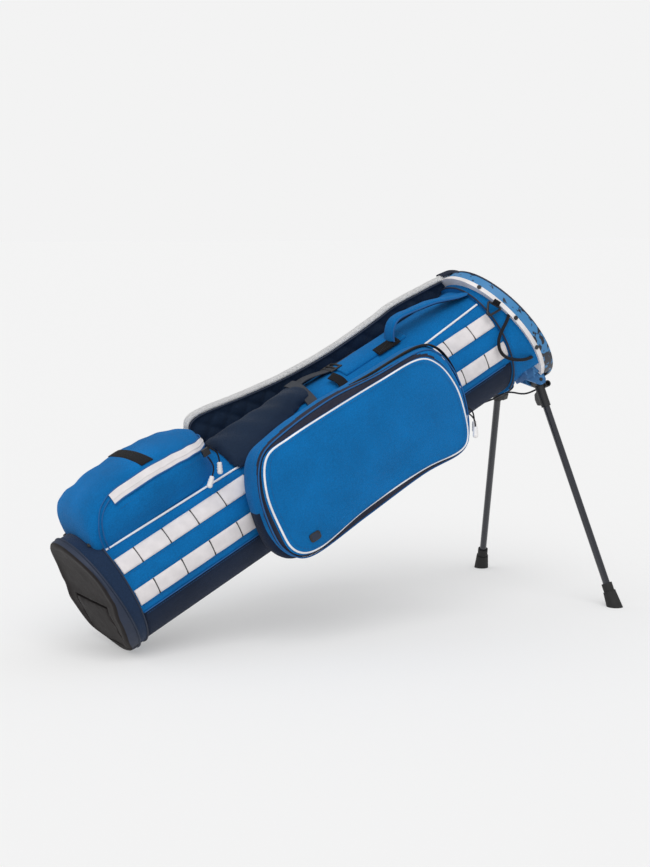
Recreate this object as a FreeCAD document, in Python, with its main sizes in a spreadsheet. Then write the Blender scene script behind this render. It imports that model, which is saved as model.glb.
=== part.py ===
import FreeCAD, Part
import math
import os
import re
import Sketcher

# Golf stand bag, open for play: the tube leans back on its raked base and on two
# splayed legs.  Millimetres.  Row frame: +Z up, +X from the base towards the mouth,
# origin on the floor under the middle of the whole object.
#
# Most pieces are drawn in the bag's own frame: X runs along the tube from base to
# mouth, Y is across the bag (minus is the side with the large pocket), and Z points
# away from the legs, to the side that carries the straps.

V = FreeCAD.Vector
Placement = FreeCAD.Placement
Rotation = FreeCAD.Rotation
ORIGIN = V(0, 0, 0)
ACROSS = V(0, 1, 0)
ALONG = V(1, 0, 0)

DIMS = (
    ("bag_tilt", 26.74, "angle of the tube above the floor, degrees"),
    ("axis_x", -413.555, "row X of the tube axis at the base"),
    ("axis_z", 86.0, "height of the tube axis at the base"),
    ("base_rake", 4.9, "slant of the base plane, degrees"),
    ("mouth_slant", 14.8, "slant of the mouth, degrees"),
    ("base_up", 100.5, "base half height, towards the straps"),
    ("base_side", 92.4, "base half width"),
    ("sole_thick", 12.0, "rubber sole"),
    ("cup_top", 34.0, "upper edge of the base cup"),
    ("cup_floor", 22.0, "inner floor of the base cup"),
    ("heel_pin_r", 1.5, "hinge pin of the heel plate"),
    ("body_up", 95.0, "tube half height"),
    ("body_side", 90.2, "tube half width"),
    ("wall", 3.4, "fabric and foam wall of the tube"),
    ("tube_end", 838.0, "tube end on the axis"),
    ("fit_gap", 0.3, "gap between neighbouring shells"),
    ("skirt_start", 786.6, "lower seam of the collar skirt"),
    ("skirt_up", 102.0, "skirt half height at its lower seam"),
    ("skirt_side", 94.0, "skirt half width at its lower seam"),
    ("ring_at", 823.0, "lower face of the light ring on the axis"),
    ("ring_long", 8.0, "length of the light ring"),
    ("rim_at", 848.6, "mouth plane on the axis"),
    ("rim_up", 119.1, "rim half height"),
    ("rim_side", 104.7, "rim half width"),
    ("collar_up", 116.5, "collar half height at the ring"),
    ("collar_side", 102.0, "collar half width at the ring"),
    ("pivot_x", 845.0, "leg pivots along the tube"),
    ("pivot_side", 52.0, "leg pivots off the middle"),
    ("pivot_down", 104.0, "leg pivots below the tube axis"),
    ("leg_splay", 20.0, "legs lean out to the sides, degrees"),
    ("leg_swing", 74.2, "swing from stowed to standing, degrees"),
    ("leg_length", 400.3, "pivot to the sole of a foot"),
    ("leg_tube_r", 6.0, "leg tube radius"),
    ("hub_r", 11.0, "leg head hub radius"),
    ("hub_wide", 16.0, "leg head width"),
    ("cheek_gap", 0.5, "side clearance of the head in its bracket"),
    ("cheek_thick", 3.5, "bracket cheek"),
    ("pin_r", 3.0, "leg pin radius"),
    ("pin_clear", 0.05, "running clearance of the pin"),
    ("ear_arm", 16.0, "ear hole off the pivot"),
    ("ear_hole_r", 3.6, "ear hole radius"),
    ("ear_r", 5.6, "ear radius"),
    ("ear_wing", 28.0, "ear width, reaching in towards the other leg"),
    ("rod_r", 1.5, "push rod wire radius"),
    ("rod_down", 97.3, "push rods below the tube axis"),
    ("rod_side", 4.0, "push rods off the middle"),
    ("strip_thick", 1.6, "sewn webbing"),
    ("pocket_skin", 2.4, "room for webbing under the pockets"),
    ("large_inner", 46.0, "large pocket starts this far off the middle"),
    ("large_depth", 94.0, "large pocket gusset depth"),
    ("front_thick", 15.0, "large pocket front panel"),
    ("ball_near", 72.0, "ball pocket near face off the middle"),
    ("ball_wide", 130.0, "ball pocket width"),
    ("far_inner", 46.0, "side pocket on the other flank"),
    ("far_depth", 78.0, "depth of that pocket"),
    ("pad_thick", 13.0, "shoulder strap pad"),
    ("handle_wide", 34.0, "grab handle"),
    ("pull_r", 1.2, "zip pull cord radius"),
    ("tip_r", 2.8, "zip pull tip radius"),
    ("tip_long", 15.0, "zip pull tip length"),
    ("loop_r", 2.75, "elastic loop cord radius"),
    ("ring_wire_r", 2.0, "towel ring wire radius"),
)

doc = FreeCAD.newDocument("golf_stand_bag")
sheet = doc.addObject("Spreadsheet::Sheet", "Dims")
for row, (alias, number, meaning) in enumerate(DIMS, start=1):
    sheet.set("A%d" % row, alias)
    sheet.set("B%d" % row, str(number))
    sheet.set("C%d" % row, meaning)
    sheet.setAlias("B%d" % row, alias)
doc.recompute()

NODES = {}
ALIASES = {alias for alias, number, meaning in DIMS}


# ---------------------------------------------------------------- small helpers

def total(text):
    """Value of a sum of cells and numbers, such as 'cup_top + 2 - wall'."""
    value = 0.0
    sign = 1.0
    for word in str(text).replace("-", " - ").replace("+", " + ").split():
        if word in ("+", "-"):
            sign = -sign if word == "-" else sign
            continue
        number = float(sheet.get(word)) if word in ALIASES else float(word)
        value += sign * number
        sign = 1.0
    return value


def bind(thing, prop, text):
    """Drive a property from the sheet."""
    linked = re.sub(r"[a-z_]+", lambda found: "Dims." + found.group(), str(text))
    thing.setExpression(prop, linked)


def keep(thing, label, frame):
    """Name a finished sub-part and put it in its place."""
    thing.Label = label
    thing.Placement = frame
    NODES[label] = thing
    return thing


BAG = Placement(V(total("axis_x"), 0, total("axis_z")), Rotation(ACROSS, -total("bag_tilt")))


def leg_frame(side):
    """Frame of one leg in the bag's frame: Y along its hinge pin, Z towards the tube."""
    pivot = V(total("pivot_x"), side * total("pivot_side"), -total("pivot_down"))
    return Placement(pivot, Rotation(ALONG, side * total("leg_splay")))


def ellipse(name, at, up, side):
    """Cross-section of the tube at a station along it."""
    ring = doc.addObject("Part::Ellipse", name)
    bind(ring, "MajorRadius", up)
    bind(ring, "MinorRadius", side)
    ring.Placement = Placement(V(total(at), 0, 0), Rotation(ACROSS, -90))
    bind(ring, "Placement.Base.x", at)
    return ring


def loft(name, *stations):
    """Solid through elliptical stations, each (at, half height, half width)."""
    solid = doc.addObject("Part::Loft", name)
    solid.Sections = [ellipse("%s_%d" % (name, i), *station) for i, station in enumerate(stations)]
    solid.Solid = True
    solid.Ruled = True
    return solid


def block(name, low, size, frame=None):
    """Box from its low corner."""
    box = doc.addObject("Part::Box", name)
    for prop, text in zip(("Length", "Width", "Height"), size):
        bind(box, prop, text)
    corner = Placement(V(*[total(text) for text in low]), Rotation())
    box.Placement = corner if frame is None else frame.multiply(corner)
    return box


def beyond(name, at, slant, side=1):
    """Everything past a plane across the tube; slant leans it, side -1 takes the base side."""
    frame = Placement(V(total(at), 0, 0), Rotation(ACROSS, -slant))
    return block(name, ("0" if side > 0 else "-400", "-200", "-200"), ("400",) * 3, frame)


def rod(name, radius, length, start, direction):
    """Round bar from a point along a direction."""
    bar = doc.addObject("Part::Cylinder", name)
    bind(bar, "Radius", radius)
    bind(bar, "Height", length)
    bar.Placement = Placement(start, Rotation(V(0, 0, 1), direction))
    return bar


def cut(name, base, *tools):
    for i, tool in enumerate(tools):
        result = doc.addObject("Part::Cut", "%s_cut%d" % (name, i))
        result.Base = base
        result.Tool = tool
        base = result
    return base


def fuse(name, *shapes):
    result = doc.addObject("Part::MultiFuse", name)
    result.Shapes = list(shapes)
    return result


def common(name, base, tool):
    result = doc.addObject("Part::Common", name)
    result.Base = base
    result.Tool = tool
    return result


def feature(name, shape):
    thing = doc.addObject("Part::Feature", name)
    thing.Shape = shape
    return thing


def grown(corners, amount):
    """The outline moved outwards by an amount, with mitred corners (anticlockwise)."""
    moved = []
    count = len(corners)
    for i, corner in enumerate(corners):
        here = V(*corner, 0)
        before = (here - V(*corners[i - 1], 0)).normalize()
        after = (V(*corners[(i + 1) % count], 0) - here).normalize()
        out = V(before.y, -before.x, 0) + V(after.y, -after.x, 0)
        out.normalize()
        spread = amount / out.dot(V(after.y, -after.x, 0))
        moved.append((here.x + out.x * spread, here.y + out.y * spread))
    return moved


def plate(name, corners, start, length, round_by=0.0, plane="XZ_Plane"):
    """Body padded from a closed outline; XZ pads grow towards minus Y from start."""
    body = doc.addObject("PartDesign::Body", name)
    sketch = body.newObject("Sketcher::SketchObject", name + "_outline")
    support = [item for item in body.Origin.OriginFeatures if item.Role == plane][0]
    sketch.AttachmentSupport = [(support, "")]
    sketch.MapMode = "FlatFace"
    sketch.AttachmentOffset = Placement(V(0, 0, total(start)), Rotation())
    count = len(corners)
    for i, corner in enumerate(corners):
        after = corners[(i + 1) % count]
        sketch.addGeometry(Part.LineSegment(V(*corner, 0), V(*after, 0)), False)
    for i, corner in enumerate(corners):
        sketch.addConstraint(Sketcher.Constraint("Coincident", i, 2, (i + 1) % count, 1))
        sketch.addConstraint(Sketcher.Constraint("DistanceX", -1, 1, i, 1, corner[0]))
        sketch.addConstraint(Sketcher.Constraint("DistanceY", -1, 1, i, 1, corner[1]))
    pad = body.newObject("PartDesign::Pad", name + "_pad")
    pad.Profile = sketch
    bind(pad, "Length", length)
    doc.recompute()
    if round_by:
        deep = total(length)
        edges = []
        for i, edge in enumerate(pad.Shape.Edges, start=1):
            box = edge.BoundBox
            along = box.YLength if plane == "XZ_Plane" else box.XLength
            if abs(box.DiagonalLength - deep) < 0.01 and abs(along - deep) < 0.01:
                edges.append("Edge%d" % i)
        rounding = body.newObject("PartDesign::Fillet", name + "_round")
        rounding.Base = (pad, edges)
        rounding.Radius = round_by
        doc.recompute()
    return body


def sector(name, low_deg, high_deg, rise, thick, start, length):
    """Strip sewn along the tube between two angles; 0 is minus Y, 90 is the strap side."""
    edges = []
    for lift in (total(rise), total(rise) + total(thick)):
        up = total("body_up") + lift
        side = total("body_side") + lift
        curve = Part.Ellipse(V(0, 0, up), V(0, -side, 0), ORIGIN)
        edges.append(Part.ArcOfEllipse(curve, math.radians(90 - high_deg), math.radians(90 - low_deg)).toShape())
    inner, outer = edges
    sides = [Part.LineSegment(a.Vertexes[i].Point, b.Vertexes[i].Point).toShape()
             for a, b, i in ((inner, outer, 0), (inner, outer, 1))]
    face = Part.Face(Part.Wire(Part.__sortEdges__([inner, outer] + sides)))
    face.translate(V(total(start), 0, 0))
    return feature(name, face.extrude(V(total(length), 0, 0)))


def rounded_path(points, share=0.45, limit=None):
    """Straight runs joined by tangent arcs, each as large as its runs allow."""
    edges = []
    last = points[0]
    for before, here, after in zip(points, points[1:], points[2:]):
        back = (before - here)
        ahead = (after - here)
        turn = math.pi - back.getAngle(ahead)
        reach = share * min(back.Length, ahead.Length)
        radius = reach / math.tan(turn / 2)
        if limit and radius > limit:
            radius = limit
            reach = radius * math.tan(turn / 2)
        enter = here + back.normalize() * reach
        leave = here + ahead.normalize() * reach
        middle_way = (back + ahead).normalize()
        middle = here + middle_way * (math.hypot(radius, reach) - radius)
        edges.append(Part.LineSegment(last, enter).toShape())
        edges.append(Part.Arc(enter, middle, leave).toShape())
        last = leave
    edges.append(Part.LineSegment(last, points[-1]).toShape())
    return Part.Wire(edges)


def wire_bar(name, points, radius, share=0.45, limit=None):
    """Round wire or cord along a rounded path; the ends stay square."""
    path = rounded_path(points, share, limit)
    way = (points[1] - points[0]).normalize()
    profile = Part.Wire([Part.Circle(points[0], way, total(radius)).toShape()])
    pipe = Part.BRepOffsetAPI.MakePipeShell(path)
    pipe.add(profile)
    pipe.build()
    pipe.makeSolid()
    shape = pipe.shape()
    ideal = math.pi * total(radius) ** 2 * path.Length
    print("%s: length %.1f mm, volume ratio %.3f" % (name, path.Length, shape.Volume / ideal))
    return feature(name, shape)


def on_tube(at, degrees, up, side):
    """Point in the bag's frame on an ellipse round the tube."""
    turn = math.radians(degrees)
    return V(at, -side * math.cos(turn), up * math.sin(turn))


# ------------------------------------------------------------- shared cutters

floor_cut = block("below_floor", ("-1200", "-400", "-100"), ("2400", "800", "100"), BAG.inverse())
tube_core = loft("tube_core", ("-60", "body_up + fit_gap", "body_side + fit_gap"),
                 ("960", "body_up + fit_gap", "body_side + fit_gap"))
tube_skin = loft("tube_skin", ("-60", "body_up + pocket_skin", "body_side + pocket_skin"),
                 ("960", "body_up + pocket_skin", "body_side + pocket_skin"))
RAKE = total("base_rake")
SLANT = total("mouth_slant")


# ----------------------------------------------------------------- base

def base():
    """Rubber sole with a hinged heel plate, and the moulded cup that takes the tube."""
    sole = loft("sole_blank", ("-20", "base_up + 0.8", "base_side + 0.8"),
                ("40", "base_up + 0.8", "base_side + 0.8"))
    recess_low = "-86"
    recess = block("heel_recess", ("-30", "-56", recess_low), ("38", "112", "84"),
                   Placement(ORIGIN, Rotation(ACROSS, -RAKE)))
    sole = cut("sole", sole, beyond("sole_end", "0", RAKE, -1), beyond("sole_top", "sole_thick", RAKE),
               floor_cut, recess)
    pin_start = V(4, -62, -12)
    raked = Placement(ORIGIN, Rotation(ACROSS, -RAKE))
    pin_seat = rod("heel_pin_seat", "heel_pin_r", "124", raked.multVec(pin_start), ACROSS)
    keep(cut("sole_seat", sole, pin_seat), "base_sole", BAG)

    cup = loft("cup_blank", ("-20", "base_up", "base_side"), ("cup_top", "base_up - 1.6", "base_side - 0.6"))
    hollow = loft("cup_hollow", ("cup_floor", "body_up + fit_gap", "body_side + fit_gap"),
                  ("120", "body_up + fit_gap", "body_side + fit_gap"))
    tongue_slot = block("tongue_slot", ("-30", "-15", "-110"), ("120", "30", "15.5"))
    cup = cut("cup", cup, beyond("cup_end", "sole_thick", RAKE, -1), hollow, tongue_slot, floor_cut)
    keep(cup, "base_cup", BAG)

    heel_frame = BAG.multiply(raked)
    heel = plate("heel_blank", [(-55, -84), (55, -84), (55, -7), (-55, -7)], "1.4", "5.2", 9, "YZ_Plane")
    heel_bore = rod("heel_bore", "heel_pin_r + pin_clear", "124", pin_start, ACROSS)
    keep(cut("heel", heel, heel_bore), "heel_plate", heel_frame)
    heel_pin = rod("heel_pin", "heel_pin_r", "124", pin_start, ACROSS)
    keep(heel_pin, "heel_pin", heel_frame.multiply(Placement(pin_start, Rotation(V(0, 0, 1), ACROSS))))


# ----------------------------------------------------------------- tube

def tube():
    """Fabric tube on a foam liner, its stays, and the panel on the leg side."""
    inner = loft("tube_hollow", ("-60", "body_up - wall", "body_side - wall"),
                 ("960", "body_up - wall", "body_side - wall"))
    outer = loft("tube_outer", ("cup_floor", "body_up", "body_side"), ("960", "body_up", "body_side"))
    mouth = beyond("tube_mouth", "tube_end", SLANT)
    keep(cut("tube", outer, inner, mouth), "body_tube", BAG)

    bars = []
    for i, degrees in enumerate((38, 142, -58, -122)):
        spot = on_tube(total("cup_floor"), degrees, total("body_up - wall - 3.2"),
                       total("body_side - wall - 3.2"))
        bars.append(rod("stay_%d" % i, "2.5", "780", spot, ALONG))
    keep(fuse("stays", *bars), "stay_rods", BAG)

    spine = sector("spine", -161, -19, "fit_gap", "1.8", "cup_top + 0.5", "751")
    rod_way = block("rod_way", ("30", "-7.8", "-110"), ("760", "15.6", "40"))
    keep(cut("spine_split", spine, rod_way), "spine_panel", BAG)

    for label, low, high in (("webbing_row_upper", 22.2, 37.8), ("webbing_row_lower", -10.3, 5.2)):
        keep(sector(label, low, high, "fit_gap", "strip_thick", "cup_top + 2", "748"), label, BAG)
    for label, low, high in (("webbing_row_far_upper", 142.2, 157.8), ("webbing_row_far_lower", 174.8, 190.3)):
        keep(sector(label, low, high, "fit_gap", "strip_thick", "cup_top + 2", "748"), label, BAG)


# ----------------------------------------------------------------- collar

def leg_well(name):
    """Room around both leg heads at the edge of the collar."""
    wells = []
    for side in (-1, 1):
        frame = leg_frame(side)
        wells.append(block("%s_well%d" % (name, side), ("-60", "-13.5", "-60"), ("84", "27", "74"), frame))
        wells.append(block("%s_seat%d" % (name, side), ("-27", "-20.6", "13"), ("38.8", "41.2", "30"), frame))
    return wells


def collar():
    """Skirt, light ring, rivets, moulded rim and the divider in the mouth."""
    outer = loft("skirt_outer", ("skirt_start", "skirt_up", "skirt_side"),
                 ("ring_at + 44", "collar_up + 1.5", "collar_side + 1"))
    notch = block("skirt_notch", ("skirt_start + 6", "-130", "-180"), ("130", "260", "116"))
    skirt = cut("skirt", outer, tube_core, beyond("skirt_top", "ring_at", SLANT), notch)
    keep(skirt, "collar_skirt", BAG)

    band = loft("ring_outer", ("ring_at - 60", "collar_up + 1", "collar_side + 1"),
                ("ring_at + 60", "collar_up + 1", "collar_side + 1"))
    band = cut("ring", band, tube_core, beyond("ring_low", "ring_at", SLANT, -1),
               beyond("ring_high", "ring_at + ring_long", SLANT), *leg_well("ring"))
    keep(band, "collar_ring", BAG)

    rim = loft("rim_outer", ("ring_at - 60", "collar_up - 3", "collar_side - 3"),
               ("rim_at + 34", "rim_up + 1", "rim_side + 1"))
    rim = cut("rim", rim, tube_core, beyond("rim_low", "ring_at + ring_long", SLANT, -1),
              beyond("rim_high", "rim_at", SLANT), *leg_well("rim"))
    keep(rim, "top_collar", BAG)

    heads = []
    for i, degrees in enumerate((56.5, 17, -14.6, 123.5, 163, 194.6)):
        turn = math.radians(degrees)
        up, side = total("collar_up + 1"), total("collar_side + 1")
        at = total("ring_at + 4") - up * math.sin(turn) * math.tan(math.radians(SLANT))
        out = V(0, -math.cos(turn) / side, math.sin(turn) / up).normalize()
        spot = on_tube(at, degrees, up, side) - out * 5
        heads.append(rod("rivet_shank%d" % i, "1.6", "6", spot, out))
        heads.append(rod("rivet_head%d" % i, "3.6", "1.8", spot + out * 5.2, out))
    keep(fuse("rivets", *heads), "collar_rivets", BAG)

    core = loft("divider_core", ("-60", "body_up - wall - 0.3", "body_side - wall - 0.3"),
                ("960", "body_up - wall - 0.3", "body_side - wall - 0.3"))
    lean = Placement(V(total("tube_end") - 30, 0, 0), Rotation(ACROSS, -SLANT))
    bars = fuse("divider_bars", block("divider_up", ("0", "-5", "-130"), ("28", "10", "260"), lean),
                block("divider_side", ("0", "-130", "-5"), ("28", "260", "10"), lean))
    keep(common("divider", bars, core), "top_divider", BAG)


# ----------------------------------------------------------------- legs

def leg(side, word):
    """Bracket, pin, head, tube and foot of one leg."""
    frame = leg_frame(side)
    swing = math.radians(total("leg_swing"))
    out = V(-math.cos(swing), 0, -math.sin(swing))
    half = total("leg_swing") / 2
    ear = V(math.sin(math.radians(half)), 0, -math.cos(math.radians(half))) * total("ear_arm")

    cheek = "cheek_thick"
    outline = [(-9, -4), (-4.5, -8.5), (4.5, -8.5), (9, -4), (11, 8), (11, 40), (-26, 40), (-26, 16)]
    plates = []
    inner = total("hub_wide") / 2 + total("cheek_gap")
    for start in (inner, -inner - total("cheek_thick")):
        plates.append(plate("cheek_%s%d" % (word, start > 0), outline, str(start), cheek, 3))
    saddle = block("saddle_" + word, ("-26", "-20", "13.5"), ("37", "40", "26"))
    bracket = fuse("bracket_blank_" + word, saddle, *plates)
    pin_hole = rod("bracket_bore_" + word, "pin_r", "60", V(0, -30, 0), ACROSS)
    bracket = cut("bracket_" + word, bracket, pin_hole)
    bracket.Placement = frame
    keep(cut("bracket_fit_" + word, bracket, tube_core), "leg_bracket_" + word, BAG)

    pin_long = total("hub_wide + cheek_gap + cheek_gap + cheek_thick + cheek_thick") + 1.6
    pin = rod("pin_" + word, "pin_r", str(pin_long), ORIGIN, ACROSS)
    pin_place = Placement(V(0, -pin_long / 2, 0), Rotation(V(0, 0, 1), ACROSS))
    keep(pin, "leg_pin_" + word, BAG.multiply(frame).multiply(pin_place))

    wide = total("hub_wide")
    hub = rod("hub_" + word, "hub_r", "hub_wide", V(0, -wide / 2, 0), ACROSS)
    wing = total("ear_wing")
    lobe_start = -wide / 2 if side < 0 else wide / 2 - wing
    lobe = rod("lobe_" + word, "ear_r", "ear_wing", ear + V(0, lobe_start, 0), ACROSS)
    neck = rod("neck_" + word, "leg_tube_r + 2", "46", ORIGIN, out)
    reach_in = -side
    web = plate("web_" + word, [(0, 14), (reach_in * 17, 20), (reach_in * 21, 29), (reach_in * 19, 39), (0, 44)],
                "-4.5", "9", 2, "YZ_Plane")
    web.Placement = Placement(ORIGIN, Rotation(V(0, 0, 1), out))
    head = cut("head_" + word, fuse("head_blank_" + word, hub, lobe, neck, web),
               rod("head_bore_" + word, "pin_r + pin_clear", "60", V(0, -30, 0), ACROSS),
               rod("ear_bore_" + word, "ear_hole_r", "60", ear + V(0, -30, 0), ACROSS),
               rod("socket_" + word, "leg_tube_r", "60", out * 25, out))
    keep(head, "leg_head_" + word, BAG.multiply(frame))

    tube_long = str(total("leg_length") - 25 - 12)
    shaft = rod("shaft_" + word, "leg_tube_r", tube_long, out * 25, out)
    turned = Placement(out * 25, Rotation(V(0, 0, 1), out))
    keep(shaft, "leg_tube_" + word, BAG.multiply(frame).multiply(turned))

    reach = total("leg_length")
    cuff = rod("cuff_" + word, "leg_tube_r + 3", "24", out * (reach - 40), out)
    shoe = doc.addObject("Part::Cone", "shoe_" + word)
    shoe.Radius1 = 10.5
    shoe.Radius2 = 13.5
    shoe.Height = 34
    shoe.Placement = Placement(out * (reach - 26), Rotation(V(0, 0, 1), out))
    foot = cut("foot_" + word, fuse("foot_blank_" + word, cuff, shoe),
               rod("foot_bore_" + word, "leg_tube_r", "30", out * (reach - 42), out))
    foot.Placement = frame
    keep(cut("foot_floor_" + word, foot, floor_cut), "leg_foot_" + word, BAG)


def push_rods():
    """Steel wires that run from the base to the ears of the leg heads."""
    half = math.radians(total("leg_swing") / 2)
    arm = total("ear_arm")
    down = total("rod_down")
    ear_x = arm * math.sin(half)
    ear_z = -(arm * math.cos(half) + arm) / 2
    for side, word in ((-1, "near"), (1, "far")):
        frame = leg_frame(side)
        inside = frame.multVec(V(ear_x, -side * 26, ear_z))
        through = frame.multVec(V(ear_x, -side * 2, ear_z))
        y = side * total("rod_side")
        points = [V(60, y, -down), V(738, y, -down), V(778, y + side * 3, -down - 8.7),
                  V(806, y + side * 8, -down - 9.2),
                  inside + V(-24, -side * 9, 0.5), inside, through]
        keep(wire_bar("push_rod_" + word, points, "rod_r", 0.45, 40), "push_rod_" + word, BAG)

    yoke = block("yoke", ("44", "-5.6", "-rod_down - 1.5"), ("22", "11.2", "3.4"))
    bores = [rod("yoke_bore%d" % side, "rod_r", "20", V(60, side * total("rod_side"), -down), ALONG)
             for side in (-1, 1)]
    keep(cut("yoke", yoke, *bores), "rod_yoke", BAG)

    shell = block("sleeve_shell", ("70", "-7.6", "-rod_down - 2.9"), ("642", "15.2", "8"))
    passage = block("sleeve_way", ("60", "-6", "-rod_down - 1.9"), ("710", "12", "3.9"))
    keep(cut("sleeve", shell, passage, tube_skin), "rod_sleeve", BAG)


# ----------------------------------------------------------------- pockets

LARGE_OUTLINE = [(252, -20), (262, -62), (300, -80), (600, -80), (619, -62), (641, -12), (650, 42),
                 (632, 76), (600, 92), (420, 101), (300, 98), (276, 84)]
FRONT_OUTLINE = [(264, -52), (278, -70), (346, -74), (486, -62), (606, -76), (619, -64), (627, -20),
                 (623, 42), (602, 80), (560, 92), (420, 96), (294, 95), (273, 74), (263, 20)]
BALL_OUTLINE = [(36, 70), (246, 70), (246, 143), (214, 155), (145, 163), (97, 163), (57, 156), (26, 128), (25, 105),
                (36, 101)]
FAR_OUTLINE = [(300, -54), (560, -54), (574, 10), (560, 74), (300, 74), (288, 10)]


def large_pocket():
    """Clothing pocket: gusset, front panel, the piping round it, zip, sliders and badge."""
    gusset = plate("large_gusset", LARGE_OUTLINE, "large_inner", "large_depth", 8)
    keep(cut("large", gusset, tube_skin), "clothing_pocket_gusset", BAG)
    front_start = total("large_inner + large_depth")
    front = plate("large_front", FRONT_OUTLINE, str(front_start), "front_thick", 6)
    keep(front, "clothing_pocket_front", BAG)
    rim = plate("piping_blank", grown(FRONT_OUTLINE, 2.6), str(front_start + 4), "3", 6)
    hole = plate("piping_hole", FRONT_OUTLINE, str(front_start), "15", 6)
    keep(cut("piping", rim, hole), "clothing_pocket_piping", BAG)

    zip_start = front_start - 14
    blank = plate("zip_blank", grown(LARGE_OUTLINE, 1.6), str(zip_start), "8", 8)
    core = plate("zip_core", LARGE_OUTLINE, str(zip_start - 1), "10", 8)
    keep(cut("large_zip", blank, core, block("zip_low", ("200", "-200", "-120"), ("500", "200", "80")),
             block("zip_left", ("200", "-200", "-120"), ("70", "200", "300"))), "clothing_pocket_zip", BAG)

    slider = plate("large_slider", [(635.7, -36), (641.2, -38), (645.6, -22), (640.4, -20)],
                   str(zip_start - 1), "10", 1.2)
    keep(slider, "clothing_pocket_slider", BAG)


def ball_pocket():
    """Ball pocket on the strap side, with its curved zip and the patch on its lid."""
    blank = plate("ball_blank", BALL_OUTLINE, "ball_near - ball_wide", "ball_wide", 5)
    keep(cut("ball", blank, tube_skin), "ball_pocket_body", BAG)
    zip_line = [(72, 120), (248.5, 120), (248.5, 127), (72, 127)]
    zip_strip = plate("ball_zip_blank", zip_line, "ball_near + 0.2", "1.6", 0)
    keep(zip_strip, "ball_pocket_zip", BAG)
    patch = block("ball_patch_blank", ("132", "-60", "163.3"), ("30", "108", "1.2"),)
    keep(patch, "ball_pocket_patch", BAG.multiply(Placement(V(110, -60, 163.2), Rotation())))
    slider = block("ball_slider_blank", ("0", "0", "0"), ("12", "5", "11"))
    keep(slider, "ball_pocket_slider", BAG.multiply(Placement(V(229, -79.2, 118), Rotation())))


def far_pocket():
    """Flat pocket on the other flank."""
    start = -total("far_inner") - total("far_depth")
    blank = plate("far_blank", FAR_OUTLINE, str(start), "far_depth", 16)
    keep(cut("far", blank, tube_skin), "side_pocket", BAG)


# The zip pulls: each route is a list of points in the bag's frame, first point on the slider.
PULLS = {
    "clothing_pull_upper": [(645, -132, -30), (652, -133.5, -38), (653.5, -134, -49), (649, -134, -60)],
    "clothing_pull_lower": [(640, -139, -37), (640, -149, -42), (636.5, -158, -49), (629, -163, -56)],
    "ball_pull_upper": [(240, -80.5, 130), (246.5, -82.5, 121.5), (249, -83.5, 110.5), (244.5, -84, 100.5)],
    "ball_pull_lower": [(233, -80.5, 117), (235, -83, 106.5), (232, -84.5, 96), (224, -85, 88.5)],
}


def pulls():
    """Cord pulls with moulded tips, hanging from the two sliders."""
    for label, route in PULLS.items():
        points = [V(*point) for point in route]
        keep(wire_bar(label, points, "pull_r"), label, BAG)
        way = (points[-1] - points[-2]).normalize()
        tip = rod(label + "_tip", "tip_r", "tip_long", points[-1], way)
        keep(tip, label + "_tip", BAG.multiply(Placement(points[-1], Rotation(V(0, 0, 1), way))))


# ----------------------------------------------------------------- straps and handles

def straps():
    """Two padded shoulder straps and the webbing that carries them."""
    edge = [(272, 92), (300, 90), (560, 90), (700, 92), (752, 96), (752, 119), (691, 125), (599, 119),
            (530, 118), (452, 123), (379, 133), (295, 146), (276, 140), (268, 126)]
    keep(plate("pad_far", edge, "-51", "17", 3), "strap_pad_far", BAG)
    keep(sector("pad_near", 66, 105, "fit_gap + fit_gap", "pad_thick", "292", "176"), "strap_pad_near", BAG)
    tail = [(752.5, 112), (793, 112), (793, 114.5), (752.5, 114.5)]
    keep(plate("web_far", tail, "-53", "25", 0), "strap_webbing_far", BAG)
    keep(sector("web_near", 78, 92, "fit_gap", "2.2", "468.5", "112"), "strap_webbing_near", BAG)
    keep(sector("lock_near", 76, 94, "2.8", "4.5", "512", "22"), "strap_ladder_lock", BAG)


def handle():
    """Padded grab handle standing off the tube, and the patch it is sewn to."""
    outline = [(618, 93), (630, 93), (643, 113), (652, 117), (720, 106.5), (748, 98), (770, 93), (786, 93),
               (786, 96), (751, 107), (721, 117.5), (653, 128), (637, 124)]
    shape = plate("handle_blank", outline, "13", "handle_wide", 1.2)
    keep(cut("handle", shape, tube_skin), "grab_handle", BAG)
    keep(sector("patch", 58, 84, "fit_gap", "1.8", "587", "30"), "handle_patch", BAG)


def towel_ring():
    """Triangular ring for a towel, in a stiff webbing tab on the skirt."""
    up, side = total("collar_up - 0.5"), total("collar_side + 3")
    corners = [on_tube(794.2, 41.7, up, side), on_tube(804, 30.4, up, side), on_tube(772, 31, up, side)]
    middle = (corners[0] + corners[1]) / 2
    path = rounded_path([middle, corners[1], corners[2], corners[0], middle], 0.3)
    way = (corners[1] - corners[0]).normalize()
    profile = Part.Wire([Part.Circle(middle, way, total("ring_wire_r")).toShape()])
    pipe = Part.BRepOffsetAPI.MakePipeShell(path)
    pipe.add(profile)
    pipe.build()
    pipe.makeSolid()
    keep(feature("ring", pipe.shape()), "towel_ring", BAG)

    flat = way.cross(corners[2] - corners[0]).normalize()
    facing = Placement(middle, Rotation(way, ACROSS, flat, "XZY"))
    below = total("ring_wire_r") + 0.4
    stem = block("tab_stem", ("-6", "-1.5", "-14"), ("12", "3", str(14 - below)), facing)
    core = loft("tab_core", ("skirt_start - 2", "skirt_up + 0.2", "skirt_side + 0.2"),
                ("ring_at + 44", "collar_up + 1.7", "collar_side + 1.2"))
    keep(cut("tab", stem, core), "towel_tab", BAG)
    print("towel ring hinge", BAG.multVec(corners[0]), BAG.multVec(corners[1]), BAG.multVec(corners[2]))


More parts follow.
